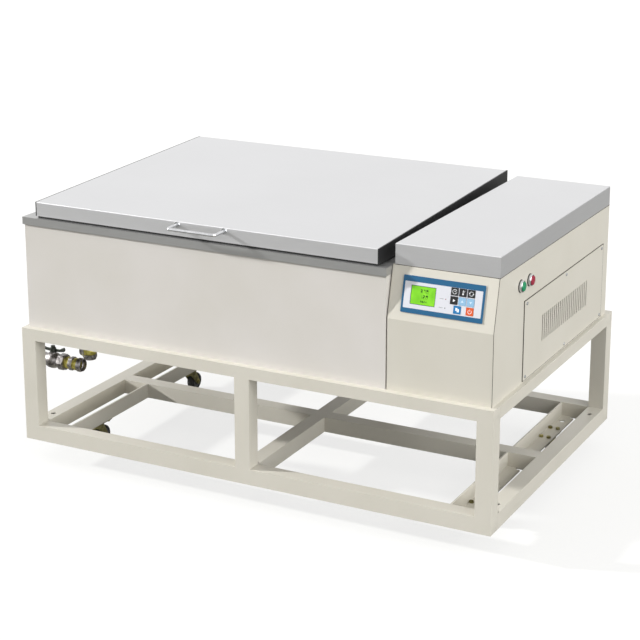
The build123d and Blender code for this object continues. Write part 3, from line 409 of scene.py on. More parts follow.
IVORY = powder_coat("ivory_powder_coat", srgb(208, 204, 193), srgb(203, 199, 187))
TANK_IVORY = powder_coat("tank_ivory_coat", srgb(211, 207, 202), srgb(206, 202, 195))
# A dark grey that paints the shade in the gaps under the top cover, down the housing's front corner and
# round the access panel.
GAP_SHADE_GREY = moulded("painted_gap_shade", srgb(78, 75, 66), rough=0.6)
TRIM_BLACK = moulded("satin_black_trim", srgb(22, 22, 23), rough=0.4)
RUBBER = moulded("seal_rubber", srgb(14, 14, 14), rough=0.6, grain=1500)
TYRE = moulded("wheel_rubber", srgb(34, 34, 35), rough=0.55, grain=1200, depth=0.05)
HUB_GREY = moulded("wheel_hub_plastic", srgb(96, 97, 99), rough=0.45)
FASCIA_BLUE = moulded("printed_fascia_blue", srgb(18, 88, 128), rough=0.32, depth=0.01, shade=0.95)
FIELD_WHITE = moulded("printed_field_white", srgb(212, 213, 219), rough=0.34, depth=0.01, shade=0.98)
KEY_BLACK = moulded("key_print_black", srgb(16, 17, 18), rough=0.35, depth=0.01)
KEY_SKY = moulded("key_print_light_blue", srgb(140, 182, 212), rough=0.35, depth=0.01, shade=0.97)
KEY_BLUE = moulded("key_print_blue", srgb(16, 114, 172), rough=0.35, depth=0.01, shade=0.95)
KEY_ORANGE = moulded("key_print_orange", srgb(214, 88, 38), rough=0.35, depth=0.01, shade=0.95)
SYMBOL_WHITE = moulded("symbol_print_white", srgb(240, 242, 244), rough=0.35, depth=0.01, shade=0.99)
SYMBOL_FAINT = moulded("symbol_print_faint", srgb(205, 224, 238), rough=0.35, depth=0.01, shade=0.99)
MARK_GREY = moulded("mark_print_grey", srgb(90, 92, 98), rough=0.4, depth=0.01)
LCD_INK = moulded("display_ink", srgb(46, 96, 24), rough=0.25, depth=0.01)
LCD_EDGE = moulded("display_edge", srgb(30, 44, 30), rough=0.3, depth=0.01)
LAMP_RED = moulded("lamp_lens_red", srgb(150, 28, 30), rough=0.15, depth=0.0)
LAMP_DARK = moulded("lamp_lens_dark", srgb(40, 60, 44), rough=0.15, depth=0.0)
CAP_GREEN = moulded("button_cap_green", srgb(14, 140, 92), rough=0.22, depth=0.01, shade=0.9)
CAP_RED = moulded("button_cap_red", srgb(158, 30, 58), rough=0.22, depth=0.01, shade=0.9)
BEARING = moulded("bearing_plastic", srgb(226, 224, 214), rough=0.45)
MOTOR_BLACK = moulded("motor_paint", srgb(38, 41, 44), rough=0.45, grain=500, depth=0.08)
BOARD_GREEN = moulded("circuit_board", srgb(18, 92, 52), rough=0.3)

# %% [markdown]
# ## Metals
# Brushed sheet has grain along one direction: the same noise, drawn out fifty times along X.
# It changes the gloss more than the colour. Cast and plated fittings have a coarser, rounder mottle.

# %% Metal finishes
def brushed(name, colour, rough=0.34, along=(0.02, 1, 1), metallic=0.85, depth=0.012):
    """Brushed sheet: fine grain that is drawn out along one axis, and a faint cloud over it."""
    finish = Finish(name)
    grain = finish.noise(900, detail=3, stretch=along)
    cloud = finish.noise(2.5, detail=2)
    dark = tuple(c * 0.94 for c in colour)
    tone = finish.ramp(grain * 0.5 + cloud * 0.5, (0.3, dark), (0.7, colour))
    return finish.set(Base_Color=tone, Metallic=metallic, Roughness=rough - 0.06 + grain * 0.12,
                      Normal=finish.bump(grain, depth * MM, 0.5))


def fitting(name, light, dark, rough=0.3, scale=120, metallic=1.0, depth=0.08):
    """A cast, plated or polished fitting: a mottle between two tones and fine pits."""
    finish = Finish(name)
    mottle = finish.noise(scale, detail=4, roughness=0.6)
    pits = finish.noise(scale * 9, detail=2)
    return finish.set(Base_Color=finish.ramp(mottle, (0.35, dark), (0.68, light)), Metallic=metallic,
                      Roughness=rough - 0.08 + mottle * 0.2,
                      Normal=finish.bump(pits, depth * MM, 0.4))


LID_STEEL = brushed("lid_brushed_stainless", srgb(219, 219, 220), rough=0.42, metallic=0.85)
RIM_STEEL = brushed("rim_brushed_stainless", srgb(188, 188, 187), rough=0.34, metallic=0.8)
BATH_STEEL = brushed("bath_satin_stainless", srgb(196, 197, 198), rough=0.38, along=(1, 1, 0.03))
TRAY_STEEL = brushed("tray_stainless", srgb(204, 205, 206), rough=0.3)
PLAIN_STEEL = fitting("plain_steel", srgb(178, 180, 182), srgb(150, 152, 154), rough=0.34, depth=0.02)
CHROME = fitting("polished_steel", srgb(226, 227, 229), srgb(205, 206, 208), rough=0.16, depth=0.005)
CAST_NICKEL = fitting("cast_nickel", srgb(196, 192, 190), srgb(108, 104, 104), rough=0.36)
LEVER_GREY = fitting("lever_grey", srgb(96, 100, 92), srgb(52, 56, 52), rough=0.42, metallic=0.6)
BRASS = fitting("yellow_brass", srgb(222, 212, 118), srgb(150, 138, 58), rough=0.34, metallic=0.75)
ZINC = fitting("yellow_zinc_plate", srgb(196, 188, 132), srgb(120, 116, 82), rough=0.4, scale=60)
print("materials:", len(bpy.data.materials))

# %% [markdown]
# ## Glowing display and wool blanket
# The display is lit from behind, so its green also shines a little. The blanket round the tank is
# only seen through gaps, but it still gets its fibres.

# %% Display and blanket
def display_glass():
    """Green glass with a weak glow of its own."""
    finish = Finish("backlit_display")
    cloud = finish.noise(45, detail=1)
    green = finish.ramp(cloud, (0.3, srgb(108, 190, 20)), (0.7, srgb(132, 212, 34)))
    return finish.set(Base_Color=green, Roughness=0.18, Emission_Color=green, Emission_Strength=0.08)


def wool():
    """Matt yellow fibres that lie more along Z than across it."""
    finish = Finish("mineral_wool")
    fibres = finish.noise(300, detail=4, stretch=(1, 1, 0.3))
    tone = finish.ramp(fibres, (0.3, srgb(150, 138, 84)), (0.7, srgb(206, 196, 140)))
    return finish.set(Base_Color=tone, Roughness=0.95, Normal=finish.bump(fibres, 0.8 * MM, 0.6))


LCD_GREEN = display_glass()
WOOL = wool()

# %% [markdown]
# ## A finish for every CAD node
# A node whose shape is right stays, and only its material slots change.

# %% Dress the CAD nodes
CORNERS = ("fl", "fr", "rl", "rr")
NODE_FINISHES = (
    (IVORY, ("stand_bottom_rails", "stand_top_rails", "stand_posts", "stand_floor_braces",
             "caster_rails", "housing_panels", "access_panel")),
    (TANK_IVORY, ("tank_casing",)),
    (WOOL, ("tank_insulation",)),
    (LID_STEEL, ("lid_shell", "housing_cover")),
    (RIM_STEEL, ("tank_rim",)),
    (BATH_STEEL, ("tank_liner", "lid_liner")),
    (TRAY_STEEL, ("shaker_tray",)),
    (PLAIN_STEEL, ("rim_hinge_leaves", "lid_hinge_leaves", "tray_rails", "heater_element",
                   "temperature_probe", "drive_yoke", "drive_bracket", "crank", "motor_pulley")),
    (ZINC, ("caster_plates", *(f"caster_fork_{corner}" for corner in CORNERS))),
    (RUBBER, ("rim_seal", "drive_belt")),
    (BEARING, ("tray_glides", "drive_bearings")),
    (MOTOR_BLACK, ("drive_motor",)),
    (BOARD_GREEN, ("control_board",)),
    (TRIM_BLACK, ("lid_end_trims", "power_inlet")),
    (FASCIA_BLUE, ("control_fascia",)),
    (LCD_GREEN, ("lcd_window",)),
    (KEY_BLACK, ("key_timer", "key_temperature", "key_speed", "key_run")),
    (KEY_SKY, ("key_up", "key_down")),
    (KEY_BLUE, ("key_copy",)),
    (KEY_ORANGE, ("key_power",)),
)
for material, nodes in NODE_FINISHES:
    for node in nodes:
        mesh = NODES[node].data
        mesh.materials.clear()
        mesh.materials.append(material)
print("nodes dressed:", sum(len(nodes) for material, nodes in NODE_FINISHES))

# %% [markdown]
# ## The lid's handle
# A bent rod between two round roses. A path with rounded corners and a round section gives the
# smooth bends that a turned or extruded shape can't.

# %% Handle
ROD_RADIUS = 4 * MM
ROSE_RADIUS = 8 * MM
HANDLE_BEND = 9 * MM
low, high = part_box("lid_handle")
handle_z = (low[2] + high[2]) / 2
handle_left = low[0] + ROSE_RADIUS
handle_right = high[0] - ROSE_RADIUS
bar_y = low[1] + ROD_RADIUS
lid_front = high[1]
corners = [(handle_left, lid_front, handle_z), (handle_left, bar_y, handle_z),
           (handle_right, bar_y, handle_z), (handle_right, lid_front, handle_z)]
grip = rod("handle_grip", rounded_path(corners, HANDLE_BEND), ROD_RADIUS)
ROSE_PROFILE = in_mm((0, 0), (8, 0), (8, 1.2), (7.2, 2), (4, 2), (0, 2))
roses = [lathe("handle_rose", ROSE_PROFILE, facing(-Y_AXIS, (end_x, lid_front, handle_z)))
         for end_x in (handle_left, handle_right)]
dress(join("lid_handle_rod", grip, *roses), CHROME, "lid", "lid_handle")

# %% [markdown]
# ## The drain line
# Cast fittings are turned shapes with hexagons for the spanner. The elbow is a ring that is spun
# through a quarter turn about the inside of the bend.

# %% Elbow
ELBOW_RADIUS = 18 * MM
ELBOW_PIPE_RADIUS = 15.8 * MM
ELBOW_BEND = 22 * MM
ELBOW_COLLAR = 14 * MM
COLLAR_PROFILE = in_mm((13.4, 0), (16.6, 0), (18, 1.4), (18, 8), (16.4, 10.5), (15.5, 14))
low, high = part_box("drain_elbow")
drain_x = high[0] - ELBOW_RADIUS
drain_y = (low[1] + high[1]) / 2
drain_z = low[2] + ELBOW_RADIUS
elbow_top = drain_z + ELBOW_BEND + ELBOW_COLLAR
elbow_left = drain_x - ELBOW_BEND - ELBOW_COLLAR
bend_centre = (drain_x - ELBOW_BEND, drain_y, drain_z + ELBOW_BEND)
collar_up = lathe("elbow_collar", COLLAR_PROFILE, facing(-Z_AXIS, (drain_x, drain_y, elbow_top)))
collar_side = lathe("elbow_collar", COLLAR_PROFILE, facing(X_AXIS, (elbow_left, drain_y, drain_z)))
bpy.ops.object.select_all(action="DESELECT")
bpy.ops.mesh.primitive_circle_add(vertices=32, radius=ELBOW_PIPE_RADIUS,
                                  location=(drain_x, drain_y, drain_z + ELBOW_BEND))
bend = bpy.context.view_layer.objects.active
settle(bend)
bpy.ops.object.mode_set(mode="EDIT")
bpy.ops.mesh.select_all(action="SELECT")
bpy.ops.mesh.spin(steps=14, angle=QUARTER, center=bend_centre, axis=Y_AXIS)
bpy.ops.object.mode_set(mode="OBJECT")
clean_up(bend)
dress(join("elbow_casting", bend, collar_up, collar_side), CAST_NICKEL, "stand", "drain_elbow")

# %% Tube, band and nipple
TUBE_RADIUS = 13 * MM
TUBE_BORE = 11 * MM
NIPPLE_LENGTH = 38 * MM
NIPPLE_NUT_AT = 13 * MM
BAND_PROFILE = in_mm((13, 0), (16.8, 0), (17.6, 1.5), (17.6, 12), (16, 14.5), (13, 16))
NIPPLE_PROFILE = in_mm((11, 0), (14.5, 0), (15.6, 2.5), (15.9, 8), (14.8, 12), (14.8, 26), (15.9, 30),
                       (15.6, 35.5), (14.5, 38), (11, 38), (11, 0))
tube_foot = drain_z + ELBOW_BEND
tube_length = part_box("drain_nipples")[1][2] - drain_z - ELBOW_BEND
tube_profile = [(TUBE_RADIUS, 0), (TUBE_RADIUS, tube_length), (TUBE_BORE, tube_length), (TUBE_BORE, 0),
                (TUBE_RADIUS, 0)]
tube = lathe("drain_tube", tube_profile, facing(Z_AXIS, (drain_x, drain_y, tube_foot)))
dress(tube, CAST_NICKEL, "stand", "drain_nipples")
thread_band = lathe("thread_band", BAND_PROFILE, facing(Z_AXIS, (drain_x, drain_y, elbow_top)))
dress(thread_band, BRASS, "stand")
nipple_x = elbow_left - NIPPLE_LENGTH
nipple = lathe("thread_nipple", NIPPLE_PROFILE, facing(X_AXIS, (nipple_x, drain_y, drain_z)))
dress(nipple, BRASS, "stand")
nut_place = facing(X_AXIS, (nipple_x + NIPPLE_NUT_AT, drain_y, drain_z))
nut = prism("nipple_nut", 6, 32 * MM, 12 * MM, nut_place, 1 * MM)
dress(nut, CAST_NICKEL, "stand")

# %% Ball valve
VALVE_LENGTH = 82 * MM
VALVE_HEX_AT = 22 * MM
VALVE_RIM = 2 * MM
GLAND_LIFT = 16 * MM
VALVE_PROFILE = in_mm((9, -41), (16.5, -41), (17, -40), (17, -27), (15, -24), (15, -19), (18, -14),
                      (20.4, -7), (21, 0), (20.4, 7), (18, 14), (15, 19), (15, 22), (9, 23))
RIM_PROFILE = in_mm((9, 0), (19, 0), (20, 0.6), (20, 2), (9, 2))
GLAND_PROFILE = in_mm((0, 0), (10, 0), (9, 3), (9, 6), (0, 6))
BARBS = 4
BARB_PITCH = 9
valve_x = nipple_x - VALVE_LENGTH / 2
valve_shell = lathe("valve_shell", VALVE_PROFILE, facing(X_AXIS, (valve_x, drain_y, drain_z)))
hex_place = facing(X_AXIS, (valve_x + VALVE_HEX_AT, drain_y, drain_z))
valve_hex = prism("valve_hex", 6, 38 * MM, 17 * MM, hex_place, 1.2 * MM)
valve_rim = lathe("valve_rim", RIM_PROFILE, facing(X_AXIS, (nipple_x - VALVE_RIM, drain_y, drain_z)))
gland = lathe("valve_gland", GLAND_PROFILE, facing(Z_AXIS, (valve_x, drain_y, drain_z + GLAND_LIFT)))
barbs = []
for foot in range(0, BARBS * BARB_PITCH, BARB_PITCH):
    barbs += [(9.8, foot + 1), (11, foot + 2), (9.9, foot + BARB_PITCH)]
tail_profile = in_mm((9, 0), (9.8, 0), *barbs, (9.4, 40), (9, 40), (9, 0))
tail = lathe("hose_tail", tail_profile, facing(-X_AXIS, (valve_x - VALVE_LENGTH / 2, drain_y, drain_z)))
valve = join("ball_valve", valve_shell, valve_hex, valve_rim, gland, tail)
dress(valve, CAST_NICKEL, "stand", "valve_body")

# %% [markdown]
# ## The valve's lever
# A butterfly lever is a pressed strip: its outline is drawn from the side and thickened, then its
# edges are bevelled. The hub, the stem and the nut go through its middle.

# %% Lever
LEVER_HEIGHT = 17 * MM
LEVER_THICK = 3 * MM
HUB_HEIGHT = 12 * MM
WING = in_mm((6, 1), (20, 2), (34, 4), (37.5, 7), (38, 12), (36, 16), (32, 15), (22, 9.5), (6, 9))
LEVER_HUB_PROFILE = in_mm((0, 0), (7, 0), (8, 1), (8, 10.5), (6.5, 12), (0, 12))
LEVER_STEM_PROFILE = in_mm((0, -6), (3.5, -6), (3.5, 0), (0, 0))
lever_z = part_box("valve_lever")[1][2] - LEVER_HEIGHT
lever_place = facing(Z_AXIS, (valve_x, drain_y, lever_z))
lever_back = (valve_x, drain_y + LEVER_THICK / 2, lever_z)
side_view = Matrix.Translation(lever_back) @ Matrix.Rotation(QUARTER, 4, "X")
wings = [flat("lever_wing", [[(side * x, y) for x, y in WING]], LEVER_THICK, side_view, bevel=0.8 * MM)
         for side in (-1, 1)]
hub = lathe("lever_hub", LEVER_HUB_PROFILE, lever_place)
stem = lathe("lever_stem", LEVER_STEM_PROFILE, lever_place)
stem_nut = prism("lever_nut", 6, 10 * MM, 5 * MM, facing(Z_AXIS, (valve_x, drain_y, lever_z + HUB_HEIGHT)))
lever = join("butterfly_lever", *wings, hub, stem, stem_nut)
dress(lever, LEVER_GREY, "valve_lever", "valve_lever")

# %% [markdown]
# ## Caster wheels
# A hard rubber tyre with a rounded tread on a grey plastic hub. One profile is spun for each.

# %% Wheels
TYRE_PROFILE = in_mm((17.5, -9.6), (22, -10), (24, -7.5), (25, -4), (25, 4), (24, 7.5), (22, 10),
                     (17.5, 9.6), (16.8, 8), (16.8, -8), (17.5, -9.6))
HUB_PROFILE = in_mm((3.05, -10), (7.5, -10), (8.5, -8), (15.5, -7.4), (16.7, -9), (16.7, 9), (15.5, 7.4),
                    (8.5, 8), (7.5, 10), (3.05, 10), (3.05, -10))
for corner in CORNERS:
    node = f"caster_wheel_{corner}"
    low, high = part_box(node)
    centre = [(a + b) / 2 for a, b in zip(low, high)]
    dress(lathe(f"tyre_{corner}", TYRE_PROFILE, facing(X_AXIS, centre)), TYRE, node, node)
    dress(lathe(f"hub_{corner}", HUB_PROFILE, facing(X_AXIS, centre)), HUB_GREY, node)

# %% [markdown]
# ## Push buttons
# Each has a black rubber collar, a polished bezel with a rolled edge and a slightly crowned cap.
# The cap rides on its own body, because it is pressed.

# %% Buttons
COLLAR = in_mm((11.2, 0), (15, 0), (15, 1.3), (14.4, 2), (11.2, 2), (11.2, 0))
BEZEL = in_mm((11.2, 2), (13.8, 2), (14, 3), (13.6, 7), (12.8, 8), (11.6, 7.6), (11.2, 6.6), (11.2, 2))
BARREL = in_mm((0, -56), (14, -56), (14, -26), (11.1, -26), (11.1, -0.5), (0, -0.5))
housing_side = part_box("housing_panels")[1][0]
BUTTONS = (("start_button", CAP_GREEN, "cap_green", "button_housings"),
           ("stop_button", CAP_RED, "cap_red", None))
for node, material, slot, bezel_replaces in BUTTONS:
    low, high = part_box(node)
    place = facing(X_AXIS, (housing_side, (low[1] + high[1]) / 2, (low[2] + high[2]) / 2))
    base = low[0] - housing_side
    top = high[0] - housing_side
    cap_profile = [(0, base), (11 * MM, base), (11 * MM, top - 2 * MM), (10.2 * MM, top - 0.9 * MM),
                   (8 * MM, top - 0.3 * MM), (0, top)]
    dress(lathe(f"{node}_cap", cap_profile, place), material, node, node)
    dress(lathe(f"{node}_bezel", BEZEL, place), CHROME, "stand", bezel_replaces)
    dress(lathe(f"{node}_collar", COLLAR, place), RUBBER, "stand")
    dress(lathe(f"{node}_barrel", BARREL, place), TRIM_BLACK, "stand")

# %% [markdown]
# ## The printed fascia
# A membrane fascia is a printed film. Its white field, the display's dark edge and the symbols are
# thin flat pieces on the tilted plane of the housing's slope. Symbols ride on their keys.

# %% Plane of the fascia
SLOPE_RUN = 29 * MM
SLOPE_RISE = 120 * MM
FASCIA_FACE = 1 * MM
FILM = 0.12 * MM
tilt = math.atan2(SLOPE_RUN, SLOPE_RISE)
low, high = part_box("control_fascia")
fascia_centre = Vector([(a + b) / 2 for a, b in zip(low, high)])
fascia_normal = Vector((0, -math.cos(tilt), math.sin(tilt)))
fascia_up = Vector((0, math.sin(tilt), math.cos(tilt)))
FASCIA_TURN = Matrix((X_AXIS, fascia_up, fascia_normal)).transposed().to_4x4()


def on_fascia(lift, x=0, y=0):
    """A place on the fascia, lifted above its front face."""
    at = fascia_centre + fascia_normal * (FASCIA_FACE + lift) + X_AXIS * x + fascia_up * y
    return Matrix.Translation(at) @ FASCIA_TURN


def centre_on_fascia(node):
    """The x and y of a node's middle in the fascia's plane."""
    low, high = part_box(node)
    offset = Vector([(a + b) / 2 for a, b in zip(low, high)]) - fascia_centre
    return offset.dot(X_AXIS), offset.dot(fascia_up)


KEYS = [node for node in NODES if node.startswith("key_")]
KEY_WINDOW = 18.2 * MM
key_at = {key: centre_on_fascia(key) for key in KEYS}
lcd_x, lcd_y = centre_on_fascia("lcd_window")
print("keys on the fascia:", {key: (round(x, 4), round(y, 4)) for key, (x, y) in key_at.items()})

# %% White field and display edge
FIELD_WIDTH = 187 * MM
FIELD_HEIGHT = 60 * MM
FIELD_CORNER = 1.2 * MM
FIELD_DROP = -1.2 * MM
LCD_WIDTH = 60.6 * MM
LCD_HEIGHT = 43 * MM
LCD_EDGE_WIDTH = 1.2 * MM
LCD_DEPTH = -0.4 * MM
LAMP_X = 7.6 * MM
LAMP_RADIUS = 1.2 * MM
lamp_rows = (key_at["key_run"][1], key_at["key_copy"][1])
display = rectangle(lcd_x, lcd_y, LCD_WIDTH, LCD_HEIGHT)
field = [rectangle(0, FIELD_DROP, FIELD_WIDTH, FIELD_HEIGHT, FIELD_CORNER), display]
field += [rectangle(x, y, KEY_WINDOW, KEY_WINDOW) for x, y in key_at.values()]
field += [arc(LAMP_X, y, LAMP_RADIUS) for y in lamp_rows]
dress(flat("fascia_white_field", field, FILM, on_fascia(0)), FIELD_WHITE, "stand")
glass = rectangle(lcd_x, lcd_y, LCD_WIDTH - 2 * LCD_EDGE_WIDTH, LCD_HEIGHT - 2 * LCD_EDGE_WIDTH)
dress(flat("display_edge", [display, glass], FILM, on_fascia(LCD_DEPTH)), LCD_EDGE, "stand")

# %% Lamps and their marks
LAMP_PROFILE = in_mm((0, -1), (1.1, -1), (1.1, 0), (0.8, 0.35), (0, 0.5))
DASHES = 3
FIRST_DASH = 7 * MM
DASH_PITCH = 3.2 * MM
DASH_LENGTH = 2.2 * MM
DASH_HEIGHT = 1.1 * MM
for index, (y, material) in enumerate(zip(lamp_rows, (LAMP_RED, LAMP_DARK))):
    lens = lathe(f"lamp_{index + 1}", LAMP_PROFILE, on_fascia(0, LAMP_X, y), steps=16)
    dress(lens, material, "stand")
    dashes = [rectangle(LAMP_X - FIRST_DASH - DASH_PITCH * i, y, DASH_LENGTH, DASH_HEIGHT)
              for i in range(DASHES)]
    mark = flat(f"lamp_mark_{index + 1}", dashes, FILM / 2, on_fascia(FILM))
    dress(mark, MARK_GREY, "stand")

# %% [markdown]
# ## Numbers on the display
# Seven-segment figures are made from seven bars. Each figure switches on the bars that it needs.

# %% Display figures
SEGMENTS = {"0": "abcdef", "1": "bc", "2": "abged", "3": "abgcd", "4": "fgbc", "7": "abc", "8": "abcdefg"}
TALL = (4.2 * MM, 7.5 * MM, 0.8 * MM)
SMALL = (2.4 * MM, 4.2 * MM, 0.6 * MM)
ROWS = (("370", 10 * MM, TALL), ("120", -2.5 * MM, TALL), ("0824", -13.5 * MM, SMALL))
ROWS_RIGHT = 2 * MM


def figure_bars(digit, x, y, width, height, bar):
    """The bars of one figure, as outlines."""
    across = (width, bar)
    upright = (bar, height / 2)
    places = {
        "a": (0, height / 2, *across), "d": (0, -height / 2, *across), "g": (0, 0, *across),
        "b": (width / 2, height / 4, *upright), "c": (width / 2, -height / 4, *upright),
        "f": (-width / 2, height / 4, *upright), "e": (-width / 2, -height / 4, *upright),
    }
    trim = 0.35 * bar
    bars = [places[segment] for segment in SEGMENTS[digit]]
    return [rectangle(x + bar_x, y + bar_y, long - trim, high - trim) for bar_x, bar_y, long, high in bars]


figures = []
for digits, row_y, (width, height, bar) in ROWS:
    pitch = 1.7 * width
    for index, digit in enumerate(digits):
        x = lcd_x + (index - (len(digits) - 1) / 2) * pitch + ROWS_RIGHT
        outlines = figure_bars(digit, x, lcd_y + row_y, width, height, bar)
        figures.append(flat("display_bar", outlines, FILM, on_fascia(LCD_DEPTH)))
dress(join("display_figures", *figures), LCD_INK, "stand")

# %% [markdown]
# ## Symbols on the keys
# Each symbol is a set of strokes about the key's middle: a clock, a thermometer, two turning arrows,
# a run triangle, up and down triangles, two sheets and a switch mark.

# %% Key symbols, drawn in millimetres
STROKE = 0.9
KEY_LIFT = 0.6 * MM
SYMBOLS = {
    "key_timer": [band(0, 0, 5, STROKE, 20, 340), rectangle(0, 1.4, STROKE, 3.4),
                  rectangle(1.6, -0.3, 2.6, STROKE)],
    "key_temperature": [arc(0, -3.4, 1.9), rectangle(0, 1.6, 1.5, 7), rectangle(3, 3.6, 2, 0.7),
                        rectangle(3, 1.4, 2, 0.7)],
    "key_speed": [band(0, 0, 4.6, STROKE, 25, 155), band(0, 0, 4.6, STROKE, 205, 335),
                  [(-6.6, 1.4), (-2.4, 1.4), (-4.5, -1.4)], [(6.6, -1.4), (2.4, -1.4), (4.5, 1.4)]],
    "key_run": [[(-2.2, -3.4), (3.4, 0), (-2.2, 3.4)]],
    "key_up": [[(-3.4, -2.2), (3.4, -2.2), (0, 3.2)]],
    "key_down": [[(-3.4, 2.2), (0, -3.2), (3.4, 2.2)]],
    "key_copy": [rectangle(-1.8, 1.2, 4.6, 6.4),
                 [(1.2, 2.4), (4.6, 2.4), (4.6, -4.6), (-0.6, -4.6), (-0.6, -2.8), (1.2, -2.8)]],
    "key_power": [band(0, -0.4, 4.2, STROKE, 125, 415), rectangle(0, 3, STROKE, 4.6)],
}
for key, strokes in SYMBOLS.items():
    place = on_fascia(KEY_LIFT, *key_at[key])
    ink = SYMBOL_FAINT if key in ("key_up", "key_down") else SYMBOL_WHITE
    marks = [flat("stroke", [in_mm(*stroke)], FILM / 2, place) for stroke in strokes]
    dress(join(f"{key}_symbol", *marks), ink, key)

# %% [markdown]
# ## Screws
# One pan head with a cross recess is made by cutting a cross out of a turned dome. Every screw is a
# copy with its own mesh.

# %% Screw heads
def screw_head(radius, height):
    """A pan head that stands on its plane, with a cross recess."""
    profile = [(0, 0), (radius, 0), (radius, height * 0.4), (radius * 0.85, height * 0.8),
               (radius * 0.5, height), (0, height)]
    head = lathe("screw_head", profile, Matrix.Identity(4), steps=24)
    slot_length = radius * 0.6
    slot_width = radius * 0.12
    for turn in (0, QUARTER):
        cutter = block("cutter", (-slot_length, -slot_width, height * 0.45),
                       (slot_length, slot_width, height * 1.5), 0.02 * MM)
        cutter.data.transform(Matrix.Rotation(turn, 4, "Z"))
        apply_modifier(head, "BOOLEAN", operation="DIFFERENCE", solver="EXACT", object=cutter)
        bpy.data.objects.remove(cutter)
    return head


SCREW_ROWS = 2
SCREW_COLUMNS = 3
HEAD_RADIUS = 4 * MM
HEAD_HEIGHT = 2 * MM
low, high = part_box("access_screws")
pattern = screw_head(HEAD_RADIUS, HEAD_HEIGHT)
column_pitch = (high[1] - low[1] - 2 * HEAD_RADIUS) / (SCREW_COLUMNS - 1)
row_pitch = (high[2] - low[2] - 2 * HEAD_RADIUS) / (SCREW_ROWS - 1)
screws = []
for row in range(SCREW_ROWS):
    for column in range(SCREW_COLUMNS):
        y = low[1] + HEAD_RADIUS + column * column_pitch
        z = low[2] + HEAD_RADIUS + row * row_pitch
        head = bpy.data.objects.new("panel_screw", pattern.data.copy())
        bpy.context.collection.objects.link(head)
        turn = Matrix.Rotation(0.4 + 0.7 * column + 1.3 * row, 4, "Z")
        head.data.transform(facing(X_AXIS, (high[0] - HEAD_HEIGHT, y, z)) @ turn)
        screws.append(head)
dress(join("panel_screws", *screws), PLAIN_STEEL, "stand", "access_screws")
bpy.data.objects.remove(pattern)

# %% [markdown]
# ## End caps and painted gap shade
# The rails are tubes, so each open end gets a plate that lies in its mouth. Thin dark strips paint the
# shade in the gaps under the top cover, round the access panel and down the housing's front corner.

# %% End caps
RAIL_WIDTH = 40 * MM
TUBE_WALL = 2.5 * MM
CAP_WALL = 3 * MM
for node in ("stand_bottom_rails", "stand_top_rails"):
    low, high = (Vector(corner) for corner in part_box(node))
    caps = []
    for x in (low.x, high.x - CAP_WALL):
        for y in (low.y, high.y - RAIL_WIDTH):
            inner = Vector((x, y + TUBE_WALL, low.z + TUBE_WALL))
            outer = Vector((x + CAP_WALL, y + RAIL_WIDTH - TUBE_WALL, high.z - TUBE_WALL))
            caps.append(block("cap", inner, outer, 0.1 * MM))
    dress(join(f"{node}_end_caps", *caps), IVORY, "stand")

# %% Painted shade in the gap under the cover
GAP_SHADE_WIDTH = 1.3 * MM
PROUD = 0.25 * MM
GAP_SHADE_INSET = 1 * MM
low, high = (Vector(corner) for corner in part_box("housing_cover"))
middle = (low + high) / 2
size = high - low
outlines = [rectangle(middle.x, middle.y, size.x + 2 * reach, size.y + 2 * reach)
            for reach in (PROUD, -GAP_SHADE_INSET)]
under_cover = Matrix.Translation((0, 0, low.z - GAP_SHADE_WIDTH / 2))
dress(flat("cover_gap_shade", outlines, GAP_SHADE_WIDTH, under_cover), GAP_SHADE_GREY, "stand")

# %% Painted shade in the gap down the front corner
CORNER_GAP_SHADE_WIDTH = 1 * MM
low, high = (Vector(corner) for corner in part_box("housing_panels"))
slope_foot = high.z - SLOPE_RISE
gap_shade_x = high.x - GAP_SHADE_WIDTH
upright = block("seam", (gap_shade_x, low.y - PROUD, low.z), (gap_shade_x + CORNER_GAP_SHADE_WIDTH, low.y + PROUD, slope_foot),
                0.1 * MM)
slope_middle = Vector((gap_shade_x + CORNER_GAP_SHADE_WIDTH / 2, low.y + SLOPE_RUN / 2, slope_foot + SLOPE_RISE / 2))
strip = rectangle(0, 0, CORNER_GAP_SHADE_WIDTH, math.hypot(SLOPE_RUN, SLOPE_RISE))
sloping = flat("seam", [strip], 2 * PROUD,
               Matrix.Translation(slope_middle - PROUD * fascia_normal) @ FASCIA_TURN)
dress(join("corner_gap_shade", upright, sloping), GAP_SHADE_GREY, "stand")

# %% Painted shade in the gap round the access panel
low, high = (Vector(corner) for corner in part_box("access_panel"))
middle = (low + high) / 2
size = high - low
outlines = [rectangle(0, 0, size.y + 2 * GAP_SHADE_WIDTH, size.z + 2 * GAP_SHADE_WIDTH), rectangle(0, 0, size.y, size.z)]
side_on = Matrix(((0, 0, 1, low.x), (1, 0, 0, middle.y), (0, 1, 0, middle.z), (0, 0, 0, 1)))
dress(flat("access_panel_gap_shade", outlines, size.x, side_on), GAP_SHADE_GREY, "stand")

# %% [markdown]
# ## Studio
# A pale floor and plain soft light. The key light comes low from the left, so the lid's edge throws
# its shadow across the slope. The world is white to the camera and dimmer as a light.

